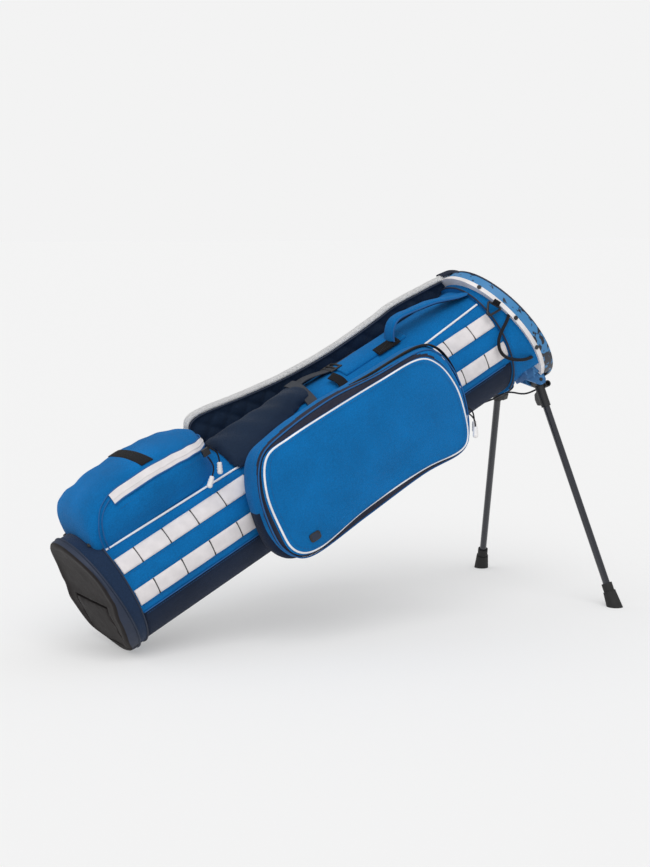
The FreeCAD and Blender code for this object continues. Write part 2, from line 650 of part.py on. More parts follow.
LOOP_ROUTE = [(814, 23.5, 108, 98.5), (803, 20.5, 113, 104.5), (786, 16.5, 112.5, 104.5), (770, 11, 111, 103),
              (763, 2, 110, 102), (770, -7, 111, 103), (787, -14, 112.5, 104.5), (808, -19.5, 114, 106),
              (824, -23, 110, 100)]


def elastic_loop():
    """Loop of elastic cord, both ends fixed in the collar."""
    points = [on_tube(*spot) for spot in LOOP_ROUTE]
    keep(wire_bar("elastic_loop", points, "loop_r"), "elastic_loop", BAG)


for make in (base, tube, collar, push_rods, large_pocket, ball_pocket, far_pocket, pulls, straps, handle,
             towel_ring, elastic_loop):
    make()
leg(-1, "near")
leg(1, "far")
doc.recompute()

bad = [item.Name for item in doc.Objects if "Invalid" in item.State or "Error" in item.State]
bad += [label for label, item in NODES.items() if item.Shape.isNull() or not item.Shape.isValid()]
if bad:
    raise SystemExit("failed: " + ", ".join(bad))

os.makedirs("parts", exist_ok=True)
whole = FreeCAD.BoundBox()
for label, item in NODES.items():
    item.Shape.exportStep("parts/%s.step" % label)
    if label not in PULLS and label != "elastic_loop":
        whole.add(item.Shape.BoundBox)
print("%d sub-parts, box %s" % (len(NODES), whole))
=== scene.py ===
import math

import bmesh
import bpy
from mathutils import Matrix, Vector, noise


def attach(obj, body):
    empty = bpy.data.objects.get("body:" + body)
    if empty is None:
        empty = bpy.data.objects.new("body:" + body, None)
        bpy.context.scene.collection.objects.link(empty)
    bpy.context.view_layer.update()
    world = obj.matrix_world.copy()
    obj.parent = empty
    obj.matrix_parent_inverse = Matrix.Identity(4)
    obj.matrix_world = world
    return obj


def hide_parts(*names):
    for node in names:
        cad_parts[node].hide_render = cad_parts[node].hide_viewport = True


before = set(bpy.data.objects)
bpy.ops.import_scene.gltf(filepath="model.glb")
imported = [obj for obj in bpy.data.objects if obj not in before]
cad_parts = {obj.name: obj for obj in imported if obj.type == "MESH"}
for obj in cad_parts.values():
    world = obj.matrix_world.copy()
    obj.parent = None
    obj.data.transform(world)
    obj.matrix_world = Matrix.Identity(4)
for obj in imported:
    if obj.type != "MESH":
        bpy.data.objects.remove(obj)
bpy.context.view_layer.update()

MM = 0.001

# The bag's own frame: s runs along the tube from base to mouth, y across it (minus is the
# side with the large pocket), u away from the legs.  Sizes below are millimetres in it.
TILT = math.radians(26.74)
AXIS_START = Vector((-0.413555, 0.0, 0.086))
E1 = Vector((math.cos(TILT), 0, math.sin(TILT)))
E2 = Vector((0, 1, 0))
E3 = Vector((-math.sin(TILT), 0, math.cos(TILT)))
BODY_UP, BODY_SIDE = 95.0, 90.2
TUBE_END = 838.0
MOUTH_SLANT = math.radians(14.8)


def at(s, y, u):
    """Point of the bag's frame, in the row frame, in metres."""
    return AXIS_START + (E1 * s + E2 * y + E3 * u) * MM


def round_tube(s, degrees, lift=0.0, up=BODY_UP, side=BODY_SIDE):
    """Point round the tube: 0 degrees is minus y, 90 is the strap side."""
    turn = math.radians(degrees)
    return at(s, -(side + lift) * math.cos(turn), (up + lift) * math.sin(turn))


# ------------------------------------------------------------------ materials

class Look:
    """A procedural material in the making. Its textures run in the bag's frame, in millimetres."""

    def __init__(self, name):
        self.material = bpy.data.materials.new(name)
        self.material.use_nodes = True
        self.nodes, self.links = self.material.node_tree.nodes, self.material.node_tree.links
        self.shader = self.nodes["Principled BSDF"]
        coords = self.nodes.new("ShaderNodeTexCoord")
        self.vector = self.mapped(coords.outputs["Object"], (0, TILT, 0), (1 / MM, 1 / MM, 1 / MM))

    def mapped(self, vector, turn, scale):
        return self.node("ShaderNodeMapping", "Vector", Vector=vector, Rotation=turn, Scale=scale)

    def node(self, kind, output, **inputs):
        """New node; each input is a value or another node's output. Underscores stand for spaces."""
        node = self.nodes.new(kind)
        for name, value in inputs.items():
            self.feed(node.inputs[name.replace("_", " ")], value)
        return node.outputs[output]

    def feed(self, socket, value):
        if isinstance(value, bpy.types.NodeSocket):
            self.links.new(value, socket)
        else:
            socket.default_value = value

    def noise(self, scale, detail=3.0, rough=0.55, vector=None):
        return self.node("ShaderNodeTexNoise", "Fac", Vector=vector or self.vector,
                         Scale=scale, Detail=detail,
                         Roughness=rough)

    def ridges(self, direction, scale, distortion, detail=2.0):
        wave = self.node("ShaderNodeTexWave", "Fac", Vector=self.vector, Scale=scale, Distortion=distortion,
                         Detail=detail)
        wave.node.bands_direction = direction
        return wave

    def sum(self, *terms):
        """Sum of (output, weight) pairs."""
        total = None
        for output, weight in terms:
            if weight != 1:
                output = self.maths("MULTIPLY", output, weight)
            total = output if total is None else self.maths("ADD", total, output)
        return total

    def maths(self, how, first, second):
        node = self.nodes.new("ShaderNodeMath")
        node.operation = how
        self.feed(node.inputs[0], first)
        self.feed(node.inputs[1], second)
        return node.outputs[0]

    def ramp(self, factor, stops):
        """Colour ramp between two (position, colour) stops."""
        colour = self.node("ShaderNodeValToRGB", "Color", Fac=factor)
        for element, (position, rgb) in zip(colour.node.color_ramp.elements, stops):
            element.position = position
            element.color = (*rgb, 1)
        return colour

    def tinted(self, base, factor, low, high, spread=(0.3, 0.7)):
        """The base colour made darker and lighter by a texture."""
        return self.ramp(factor, ((spread[0], [c * low for c in base]),
                                  (spread[1], [min(1, c * high) for c in base])))

    def between(self, factor, low, high, start=0.0, end=1.0):
        return self.node("ShaderNodeMapRange", "Result", Value=factor,
                         From_Min=start, From_Max=end, To_Min=low,
                         To_Max=high)

    def surface(self, height=None, strength=0.0, distance=0.0005, **inputs):
        """Set the shader's inputs, with a bump where a height is given."""
        if height is not None:
            inputs["Normal"] = self.node("ShaderNodeBump", "Normal", Height=height, Strength=strength,
                                         Distance=distance)
        for name, value in inputs.items():
            self.feed(self.shader.inputs[name.replace("_", " ")], value)
        return self.material


def fabric(name, colour, thread=1.1, depth=0.35, rough=0.85, sheen=0.05, low=0.8, high=1.18):
    """Woven cloth: warp and weft ridges, slubs, and broad uneven dye."""
    look = Look(name)
    weave = [(look.ridges(direction, 1.0 / thread, 0.6, 1.0), 1) for direction in ("X", "Y", "Z")]
    height = look.sum(*weave, (look.noise(0.9, 2.0), 1.4))
    dye = look.sum((look.noise(0.012, 4.0), 0.45), (look.noise(0.45, 3.0, 0.7), 0.55))
    return look.surface(height, depth, Base_Color=look.tinted(colour, dye, low, high, (0.38, 0.62)),
                        Roughness=rough, Sheen_Weight=sheen, Sheen_Roughness=0.4, Specular_IOR_Level=0.15)


def webbing(name, colour, pitch=1.5):
    """Tape with ribs across its length."""
    look = Look(name)
    height = look.sum((look.ridges("X", 1 / pitch, 0.3), 1), (look.noise(0.7, 3.0, 0.7), 1))
    return look.surface(height, 0.5, 0.0004,
                        Base_Color=look.tinted(colour, look.noise(0.05, 4.0), 0.9, 1.05),
                        Roughness=0.7, Specular_IOR_Level=0.2)


def moulded(name, colour, rough=0.45, grain=0.35, scale=0.8, metal=0.0, coat=0.0, shine=0.5):
    """Moulded plastic, rubber or coated metal with a fine leather or spark grain."""
    look = Look(name)
    worn = look.between(look.noise(0.08, 5.0), max(0.05, rough - 0.1), min(1.0, rough + 0.12))
    return look.surface(look.noise(scale, 4.0, 0.65), grain, 0.0003, Roughness=worn, Metallic=metal,
                        Base_Color=look.tinted(colour, look.noise(0.03, 5.0), 0.85, 1.12), Coat_Weight=coat,
                        Specular_IOR_Level=shine)


def leaf_print(name, base, dark):
    """Blue plastic with a dark broken leaf pattern, sparse at the strap side and dense at the leg side."""
    look = Look(name)
    blots = look.noise(0.11, 2.5, 0.6, look.mapped(look.vector, (0.5, 0.9, 0.3), (1.0, 0.4, 0.6)))
    across = look.node("ShaderNodeSeparateXYZ", "Z", Vector=look.vector)
    density = look.between(across, 0.12, -0.12, 150, 330)
    colour = look.ramp(look.sum((blots, 1), (density, 1)), ((0.50, base), (0.54, dark)))
    return look.surface(Base_Color=colour, Roughness=0.42)


BLUE = (0.001, 0.150, 0.430)
NAVY = (0.010, 0.019, 0.044)
BLUE_CLOTH = fabric("blue_cloth", BLUE)
BLUE_FRONT = fabric("blue_front_cloth", (0.001, 0.165, 0.470), thread=1.6, depth=0.5, low=0.82, high=1.15)
NAVY_CLOTH = fabric("navy_cloth", NAVY, low=0.75, high=1.3)
CHARCOAL_CLOTH = fabric("charcoal_cloth", (0.028, 0.030, 0.050), low=0.8, high=1.2)
STRAP_CLOTH = fabric("strap_lining", (0.009, 0.022, 0.050), thread=0.8, depth=0.25, rough=0.7, sheen=0.12)
MESH_CLOTH = fabric("spacer_mesh", (0.880, 0.880, 0.880), thread=2.2, depth=0.8, low=0.9, high=1.05)
LINING = fabric("tube_lining", (0.05, 0.05, 0.055), thread=1.0)
BLACK_CLOTH = fabric("black_cloth", (0.012, 0.012, 0.014))
WHITE_WEB = webbing("white_webbing", (0.86, 0.82, 0.83))
GREY_WEB = webbing("grey_webbing", (0.055, 0.060, 0.072))
NAVY_WEB = webbing("navy_webbing", (0.016, 0.022, 0.040))
WHITE_CORD = moulded("white_piping", (0.86, 0.86, 0.88), rough=0.5, grain=0.2)
NAVY_CORD = moulded("navy_piping", (0.012, 0.022, 0.05), rough=0.6)
BLUE_CORD = moulded("blue_piping", (0.002, 0.10, 0.31), rough=0.7)
THREAD = moulded("dark_thread", (0.012, 0.012, 0.014), rough=0.7)
BLUE_THREAD = moulded("blue_thread", (0.01, 0.10, 0.28), rough=0.7)
BLACK_PLASTIC = moulded("black_plastic", (0.014, 0.014, 0.016), rough=0.42)
RUBBER = moulded("sole_rubber", (0.015, 0.012, 0.012), rough=0.66, grain=0.6, scale=0.5, shine=0.2)
FOOT_RUBBER = moulded("foot_rubber", (0.012, 0.012, 0.012), rough=0.7, grain=0.5)
CUP_PLASTIC = fabric("cup_cloth", (0.014, 0.032, 0.075), thread=1.3, depth=0.3, sheen=0.15)
COLLAR_PLASTIC = leaf_print("collar_print", (0.045, 0.22, 0.47), (0.006, 0.010, 0.022))
BRACKET_PLASTIC = leaf_print("bracket_print", (0.075, 0.27, 0.56), (0.03, 0.15, 0.36))
RING_PLASTIC = moulded("ring_plastic", (0.80, 0.77, 0.77), rough=0.4, grain=0.15)
STEEL = moulded("steel_wire", (0.45, 0.45, 0.47), rough=0.3, metal=1.0, grain=0.1)
GUNMETAL = moulded("dark_wire", (0.03, 0.03, 0.035), rough=0.32, metal=0.6, grain=0.1)
LEG_TUBE = moulded("leg_lacquer", (0.014, 0.016, 0.024), rough=0.26, grain=0.05, coat=0.6)
ZIP_TEETH = moulded("zip_coil", (0.012, 0.012, 0.014), rough=0.35, grain=0.8, scale=2.0)
CORD_BLACK = webbing("black_cord", (0.014, 0.014, 0.018), pitch=0.9)
TIP_WHITE = moulded("white_tip", (0.82, 0.80, 0.80), rough=0.45, grain=0.1)
STAY = moulded("glass_fibre", (0.55, 0.54, 0.48), rough=0.4)


# ------------------------------------------------------------------ mesh tools

def placed(name, data):
    """New object in the scene."""
    thing = bpy.data.objects.new(name, data)
    bpy.context.scene.collection.objects.link(thing)
    return thing


def put(piece, node=None, body="bag"):
    """Fix a finished piece to its body and hide the CAD node it stands for."""
    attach(piece, body)
    if node:
        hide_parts(node)


def mesh_piece(name, points, faces, materials, face_slots=None, smooth=True):
    mesh = bpy.data.meshes.new(name)
    mesh.from_pydata([tuple(p) for p in points], [], faces)
    for material in materials:
        mesh.materials.append(material)
    for i, face in enumerate(mesh.polygons):
        face.use_smooth = smooth
        face.material_index = face_slots[i] if face_slots else 0
    fix = bmesh.new()
    fix.from_mesh(mesh)
    bmesh.ops.recalc_face_normals(fix, faces=fix.faces)
    fix.to_mesh(mesh)
    fix.free()
    return placed(name, mesh)


def grid(name, rows, materials, wrap=False, slot_of=None, ends=()):
    """Surface through rows of points; wrap closes each row; ends caps the first or last row."""
    points = [p for row in rows for p in row]
    width, last = len(rows[0]), len(rows) - 1
    faces, slots = [], []
    for i in range(last):
        for j in range(width if wrap else width - 1):
            k = (j + 1) % width
            faces.append((i * width + j, i * width + k, (i + 1) * width + k, (i + 1) * width + j))
            slots.append(slot_of(i, j) if slot_of else 0)
    for end in ends:
        start = end * last * width
        points.append(sum(rows[end * last], Vector()) / width)
        for j in range(width):
            faces.append((start + j, start + (j + 1) % width, len(points) - 1))
            slots.append(slot_of(end * (last - 1), j) if slot_of else 0)
    return mesh_piece(name, points, faces, materials, slots)


def subdivided(piece, levels=1):
    modifier = piece.modifiers.new("subdivide", "SUBSURF")
    modifier.levels = levels
    modifier.render_levels = levels
    return piece


def solid(piece, thickness):
    modifier = piece.modifiers.new("thickness", "SOLIDIFY")
    modifier.thickness = thickness * MM
    modifier.offset = 0.0
    return piece


def cord(name, points, radius, material, closed=False):
    """Round cord along points; the radius is in millimetres."""
    curve = bpy.data.curves.new(name, "CURVE")
    curve.dimensions = "3D"
    curve.bevel_depth = radius * MM
    curve.bevel_resolution = 4
    curve.resolution_u = 6
    curve.use_fill_caps = True
    spline = curve.splines.new("NURBS")
    spline.points.add(len(points) - 1)
    for point, place in zip(spline.points, points):
        point.co = (*place, 1)
    spline.order_u = 3
    spline.use_cyclic_u = closed
    spline.use_endpoint_u = not closed
    curve.materials.append(material)
    return placed(name, curve)


def joined(name, parts):
    """Several mesh pieces as one object."""
    bpy.ops.object.select_all(action="DESELECT")
    for part in parts:
        part.select_set(True)
    bpy.context.view_layer.objects.active = parts[0]
    bpy.ops.object.join()
    whole = bpy.context.view_layer.objects.active
    whole.name = whole.data.name = name
    return whole


def as_mesh(piece):
    """The curve or modified mesh as a plain mesh piece."""
    graph = bpy.context.evaluated_depsgraph_get()
    made = placed(piece.name + "_mesh", bpy.data.meshes.new_from_object(piece.evaluated_get(graph)))
    name = piece.name
    bpy.data.objects.remove(piece)
    made.name = name
    return made


CLOTH_PRESSURE, CLOTH_FRAMES, SMOOTHING = 4.0, 16, 5


def puffed(piece, voxel, cap):
    """The closed piece blown up a little as cloth, so that it wrinkles; no point moves further than cap."""
    remesh = piece.modifiers.new("remesh", "REMESH")
    remesh.mode = "VOXEL"
    remesh.voxel_size = voxel * MM
    piece = as_mesh(piece)
    before = [v.co.copy() for v in piece.data.vertices]
    cloth = piece.modifiers.new("cloth", "CLOTH")
    cloth.settings.use_pressure = True
    cloth.settings.uniform_pressure_force = CLOTH_PRESSURE
    cloth.settings.effector_weights.gravity = 0
    scene = bpy.context.scene
    for step in range(1, CLOTH_FRAMES + 1):
        scene.frame_set(step)
    graph = bpy.context.evaluated_depsgraph_get()
    after = [v.co.copy() for v in piece.evaluated_get(graph).data.vertices]
    scene.frame_set(1)
    piece.modifiers.remove(cloth)
    for vertex, start, end in zip(piece.data.vertices, before, after):
        move = end - start
        if move.length > cap * MM:
            move *= cap * MM / move.length
        vertex.co = start + move
    for face in piece.data.polygons:
        face.use_smooth = True
    smooth = piece.modifiers.new("smooth", "SMOOTH")
    smooth.factor = 0.5
    smooth.iterations = SMOOTHING
    return as_mesh(piece)


def turns(count):
    """(cosine, sine) of even steps round a circle."""
    return [(math.cos(2 * math.pi * k / count), math.sin(2 * math.pi * k / count)) for k in range(count)]


def rounded(value, power):
    return math.copysign(abs(value) ** power, value)


def circle(centre, side, up, radius, count):
    return [centre + (side * c + up * n) * radius * MM for c, n in turns(count)]


def heading(line, i):
    """Direction of a line of points at its point i."""
    return (line[min(i + 1, len(line) - 1)] - line[max(i - 1, 0)]).normalized()


def running_lengths(points, unit=1.0):
    lengths = [0.0]
    for a, b in zip(points, points[1:]):
        lengths.append(lengths[-1] + (b - a).length / unit)
    return lengths


def spline_through(points, count, closed=False):
    """Even samples of a smooth curve through the points (tuples or vectors)."""
    size = len(points)
    dense = []
    for i in range(size if closed else size - 1):
        before, start, end, after = [
            Vector(points[(i + k) % size] if closed else points[min(max(i + k, 0), size - 1)])
            for k in (-1, 0, 1, 2)]
        for j in range(16):
            t = j / 16
            dense.append(0.5 * ((2 * start) + (end - before) * t
                                + (2 * before - 5 * start + 4 * end - after) * t * t
                                + (3 * start - before - 3 * end + after) * t * t * t))
    dense.append(Vector(points[0] if closed else points[-1]))
    lengths = running_lengths(dense)
    samples, k = [], 0
    total = count if closed else count - 1
    for n in range(count):
        goal = lengths[-1] * n / total
        while k < len(dense) - 2 and lengths[k + 1] < goal:
            k += 1
        part = (goal - lengths[k]) / max(1e-9, lengths[k + 1] - lengths[k])
        samples.append(dense[k].lerp(dense[k + 1], part))
    return samples


def profile(pairs, x):
    """Smooth value at x of a curve given by (x, value) pairs."""
    if x <= pairs[0][0]:
        return pairs[0][1]
    for (x0, v0), (x1, v1) in zip(pairs, pairs[1:]):
        if x <= x1:
            t = (x - x0) / (x1 - x0)
            return v0 + (v1 - v0) * t * t * (3 - 2 * t)
    return pairs[-1][1]


def cloth_wobble(point, size, scale=45.0, seed=0.0):
    """Gentle unevenness of a fabric wall, in millimetres."""
    place = point / (scale * MM) + Vector((seed, seed * 0.7, 0))
    return size * noise.noise(place)


def stitches(name, path, material, long=2.4, gap=1.6, radius=0.35):
    """A run of separate thread stitches along a path of row-frame points."""
    lengths = running_lengths(path, MM)
    sides = 5
    points, faces = [], []

    def place(distance):
        for (a, b), low, high in zip(zip(path, path[1:]), lengths, lengths[1:]):
            if high >= distance:
                return a.lerp(b, (distance - low) / max(1e-6, high - low))
        return path[-1]

    distance = gap
    while distance + long < lengths[-1]:
        a, b = place(distance), place(distance + long)
        ahead = (b - a).normalized()
        side = ahead.cross(Vector((0.31, 0.57, 0.76))).normalized()
        start = len(points)
        for centre, size in ((a, 0.4), (a.lerp(b, 0.25), 1), (a.lerp(b, 0.75), 1), (b, 0.4)):
            points += circle(centre, side, ahead.cross(side), radius * size, sides)
        for ring in range(3):
            low = start + ring * sides
            for k in range(sides):
                n = (k + 1) % sides
                faces.append((low + k, low + n, low + sides + n, low + sides + k))
        faces.append(tuple(range(start, start + sides)))
        faces.append(tuple(range(start + 3 * sides, start + 4 * sides)))
        distance += long + gap
    return mesh_piece(name, points, faces, [material])


# ------------------------------------------------------------------ camera, light, floor

CAMERA_PLACE = (-1.34316, -2.1669, 0.6339)
CAMERA_AZIMUTH, CAMERA_ELEVATION = math.radians(-31.71), math.radians(7.38)
LENS, SENSOR = 66.5, 36.0
PAPER, AMBIENT = 0.896, 0.52              # brightness of the backdrop as seen, and of the light it gives
FLOOR_TONE, FLOOR_GLOW, FLOOR_HALF = 0.60, 0.335, 60
LIGHTS = (("key", (0.55, 1.0, -1.5), 1.35, 50), ("fill", (0.9, -0.2, -1.0), 0.35, 80))


def aim(thing, direction):
    thing.rotation_mode = "QUATERNION"
    thing.rotation_quaternion = direction.to_track_quat("-Z", "Y")


def studio():
    """Camera, two broad suns, and a backdrop that is brighter to the eye than to the object."""
    scene = bpy.context.scene
    camera = placed("camera", bpy.data.cameras.new("camera"))
    camera.location = CAMERA_PLACE
    aim(camera, -Vector((math.sin(CAMERA_AZIMUTH) * math.cos(CAMERA_ELEVATION),
                         -math.cos(CAMERA_AZIMUTH) * math.cos(CAMERA_ELEVATION),
                         math.sin(CAMERA_ELEVATION))))
    camera.data.lens = LENS
    camera.data.sensor_width = SENSOR
    camera.data.clip_end = 200
    scene.camera = camera

    world = scene.world = bpy.data.worlds.new("studio")
    world.use_nodes = True
    nodes, links = world.node_tree.nodes, world.node_tree.links
    seen = nodes["Background"]
    seen.inputs["Color"].default_value = (PAPER, PAPER, PAPER, 1)
    lit = nodes.new("ShaderNodeBackground")
    lit.inputs["Color"].default_value = (1, 1, 1, 1)
    lit.inputs["Strength"].default_value = AMBIENT
    choose = nodes.new("ShaderNodeMixShader")
    links.new(nodes.new("ShaderNodeLightPath").outputs["Is Camera Ray"], choose.inputs["Fac"])
    links.new(lit.outputs["Background"], choose.inputs[1])
    links.new(seen.outputs["Background"], choose.inputs[2])
    links.new(choose.outputs["Shader"], nodes["World Output"].inputs["Surface"])
    scene.view_settings.view_transform = "Standard"

    for name, direction, strength, spread in LIGHTS:
        light = placed(name, bpy.data.lights.new(name, "SUN"))
        light.data.energy = strength
        light.data.angle = math.radians(spread)
        light.location = (0, 0, 3)
        aim(light, Vector(direction))

    paper = Look("floor_paper").surface(
        Base_Color=(FLOOR_TONE, FLOOR_TONE, FLOOR_TONE, 1), Roughness=1.0, Specular_IOR_Level=0.0,
        Emission_Color=(1, 1, 1, 1), Emission_Strength=FLOOR_GLOW)
    corners = [(x * FLOOR_HALF, y * FLOOR_HALF, 0) for x, y in ((-1, -1), (1, -1), (1, 1), (-1, 1))]
    mesh_piece("floor", corners, [(0, 1, 2, 3)], [paper])


# ------------------------------------------------------------------ tube

SPINE_EDGES = (-161, -19)
TUBE_START, SLANT_START = 22, 780        # the tube meets the base; the mouth's slant begins
TUBE_ANGLES, TUBE_STEPS = 180, 90


def tube_cover():
    """Blue fabric tube with its inner lining, open at the mouth."""
    stations = [TUBE_START + (TUBE_END - TUBE_START) * i / TUBE_STEPS for i in range(TUBE_STEPS + 1)]
    rows = []
    for lift, order in ((0, stations), (-3.4, stations[::-1])):
        for s in order:
            row = []
            for j in range(TUBE_ANGLES):
                degrees = 360 * j / TUBE_ANGLES
                end = TUBE_END - BODY_UP * math.sin(math.radians(degrees)) * math.tan(MOUTH_SLANT)
                slanted = s
                if s > SLANT_START:
                    share = (end - SLANT_START) / (TUBE_END - SLANT_START)
                    slanted = SLANT_START + (s - SLANT_START) * share
                point = round_tube(slanted, degrees, lift)
                ripple = cloth_wobble(point, 0.9, 70) if lift == 0 and 60 < s < 770 else 0
                row.append(round_tube(slanted, degrees, lift + ripple))
            rows.append(row)
    put(grid("tube_cover", rows, [BLUE_CLOTH, LINING], wrap=True,
             slot_of=lambda i, j: 0 if i <= TUBE_STEPS else 1),
        "body_tube")


def sewn_panel(name, low, high, start, length, lift, thick, material, node, slot, across=24, along=80,
               puff=None):
    """Fabric strip sewn along the tube between two angles, with softly rolled edges."""
    rows = []
    for i in range(along + 1):
        s = start + length * i / along
        outer, inner = [], []
        for j in range(across + 1):
            part = j / across
            degrees = low + (high - low) * part
            edge = min(part, 1 - part) * across
            rise = lift + thick * min(1.0, 0.35 + 0.4 * edge) + (puff(s, part) if puff else 0)
            outer.append(round_tube(s, degrees, rise))
            inner.append(round_tube(s, degrees, lift))
        rows.append(outer + inner[::-1])
    piece = grid(name, rows, [material], wrap=True, ends=(0, 1))
    put(piece, node)
    return piece


BARTACK_PITCH, BARTACK_FIRST, BARTACK_ROWS = 51.5, 70.5, 30
ROWS = (("webbing_row_upper", 22.2, 37.8), ("webbing_row_lower", -10.3, 5.2),
        ("webbing_row_far_upper", 142.2, 157.8), ("webbing_row_far_lower", 174.8, 190.3))


def webbing_row(node, low, high):
    """White ladder webbing, tacked down every two inches and bowed a little in between."""
    def bow(s, part):
        phase = (s - BARTACK_FIRST) / BARTACK_PITCH
        return 1.5 * abs(math.sin(math.pi * phase)) ** 0.6 * (0.6 + 0.4 * math.sin(math.pi * part))

    sewn_panel(node + "_tape", low, high, 36, 748, 0.3, 1.3, WHITE_WEB, node, "white_webbing", 10, 300, bow)
    points, faces = [], []
    s = BARTACK_FIRST
    while s < SLANT_START:
        base = len(points)
        for i in range(BARTACK_ROWS + 1):
            odd = i % 2
            degrees = low + (high - low) * (i / BARTACK_ROWS)
            for step in (-1.0, -0.5, 0.5, 1.0):
                height = 1.5 + (0.35 + 0.25 * odd if abs(step) < 0.9 else -0.9)
                points.append(round_tube(s + step * 1.1 + (0.25 if odd else -0.25), degrees, height))
        for i in range(BARTACK_ROWS):
            for a in range(base + i * 4, base + i * 4 + 3):
                faces.append((a, a + 1, a + 5, a + 4))
        s += BARTACK_PITCH
    put(solid(mesh_piece(node + "_bartacks", points, faces, [THREAD]), 0.5))


def tube_trim():
    """Spine panel, webbing rows, piping lines and their stitching."""
    def along(degrees, lift, start=38, step=12.4):
        return [round_tube(start + step * i, degrees, lift) for i in range(60)]

    sewn_panel("spine_cloth", *SPINE_EDGES, 34.5, 751, 0.3, 1.8, NAVY_CLOTH, "spine_panel", "navy_fabric",
               60, 120)
    for name, degrees, inwards in (("near", -18.6, -2.2), ("far", -161.4, 2.2)):
        put(cord("spine_seam_" + name, along(degrees, 1.2, 36, 12.5), 1.0, BLUE_CORD))
        put(stitches("spine_stitch_" + name, along(degrees + inwards, 2.3), BLUE_THREAD))
    for name, first, last, start, end in (("low", 50, 46.4, 36, 290), ("high", 45.4, 51.4, 640, 785)):
        points = [round_tube(start + (end - start) * i / 24, first + (last - first) * i / 24, 1.1)
                  for i in range(25)]
        put(cord("white_line_" + name, points, 1.7, WHITE_CORD))
    for row in ROWS:
        webbing_row(*row)
    for name, degrees in (("a", 20.0), ("b", 40.0), ("c", 7.4), ("d", -12.5)):
        put(stitches("row_stitch_" + name, along(degrees, 0.5), BLUE_THREAD, 2.8, 1.4, 0.3))


# ------------------------------------------------------------------ clothing pocket

RING_POINTS = 160
# Outlines (s, u) where the pocket meets the tube, at its widest, at its edge band and at its front.
POCKET_BASE = [(278, -18), (282, -50), (306, -74), (400, -74), (520, -74), (594, -76), (614, -58),
               (630, -12), (636, 34), (622, 64), (594, 78), (510, 80), (420, 82), (330, 80), (298, 70),
               (282, 38)]
POCKET_BULGE = [(242, -18), (248, -56), (284, -83), (400, -80), (520, -79), (598, -83), (628, -62),
                (646, -12), (651, 34), (638, 78), (602, 99), (510, 103), (420, 108), (330, 105), (280, 92),
                (252, 44)]
POCKET_BAND = [(250, -16), (258, -54), (292, -82), (400, -80), (520, -77), (597, -84), (624, -62),
               (640, -12), (641, 34), (628, 76), (598, 97), (510, 103), (424, 112), (334, 108), (284, 95),
               (257, 46)]
POCKET_FRONT = [(262, -10), (268, -56), (306, -75), (400, -66), (520, -67), (592, -78), (616, -62),
                (628, -10), (627, 28), (613, 66), (584, 89), (510, 94), (424, 97), (334, 98), (289, 92),
                (266, 46)]
FRONT_MIDDLE = (446, 12)
# Share of the edge band that is charcoal, round the pocket from its base-end corner.
CRESCENTS = [(0, 0.8), (0.06, 0.8), (0.16, 0.9), (0.30, 0.9), (0.38, 0.5), (0.45, 0.12), (0.55, 0.12),
             (0.64, 0.8), (0.72, 1.0), (0.80, 1.0), (0.88, 0.85), (0.93, 0.7), (1, 0.8)]
NAVY_UNTIL, NAVY_FROM = 0.42, 0.965      # the part of the gusset that is navy, as shares of the ring
FRONT_Y, ZIP_Y = -150.6, -128.5
BADGE_PLACE, BADGE_HALF = (303, -54), (9.5, 7.0)


def drawn_in(outline, middle, count, inset=0.0):
    """(s, u) samples of a smooth closed outline, drawn in towards the middle by a share."""
    return [(p.x + (middle[0] - p.x) * inset, p.z + (middle[1] - p.z) * inset)
            for p in spline_through([(s, 0, u) for s, u in outline], count, closed=True)]


def pocket_ring(outline, inset=0.0):
    return drawn_in(outline, FRONT_MIDDLE, RING_POINTS, inset)


def outward(s, u):
    return Vector((s - FRONT_MIDDLE[0], 0, (u - FRONT_MIDDLE[1]) * 2)).normalized()


def crown(s, u):
    """How far the front panel stands proud: fullest low down towards the base, pinched in the middle."""
    along, across = (s - FRONT_MIDDLE[0]) / 190, (u - FRONT_MIDDLE[1]) / 95
    fold = math.exp(-((s - 470) / 55) ** 2 - ((u + 48) / 40) ** 2)
    return 13 * (max(0.0, 1 - along ** 2) * max(0.0, 1 - across ** 2)) ** 0.7 - 5 * fold


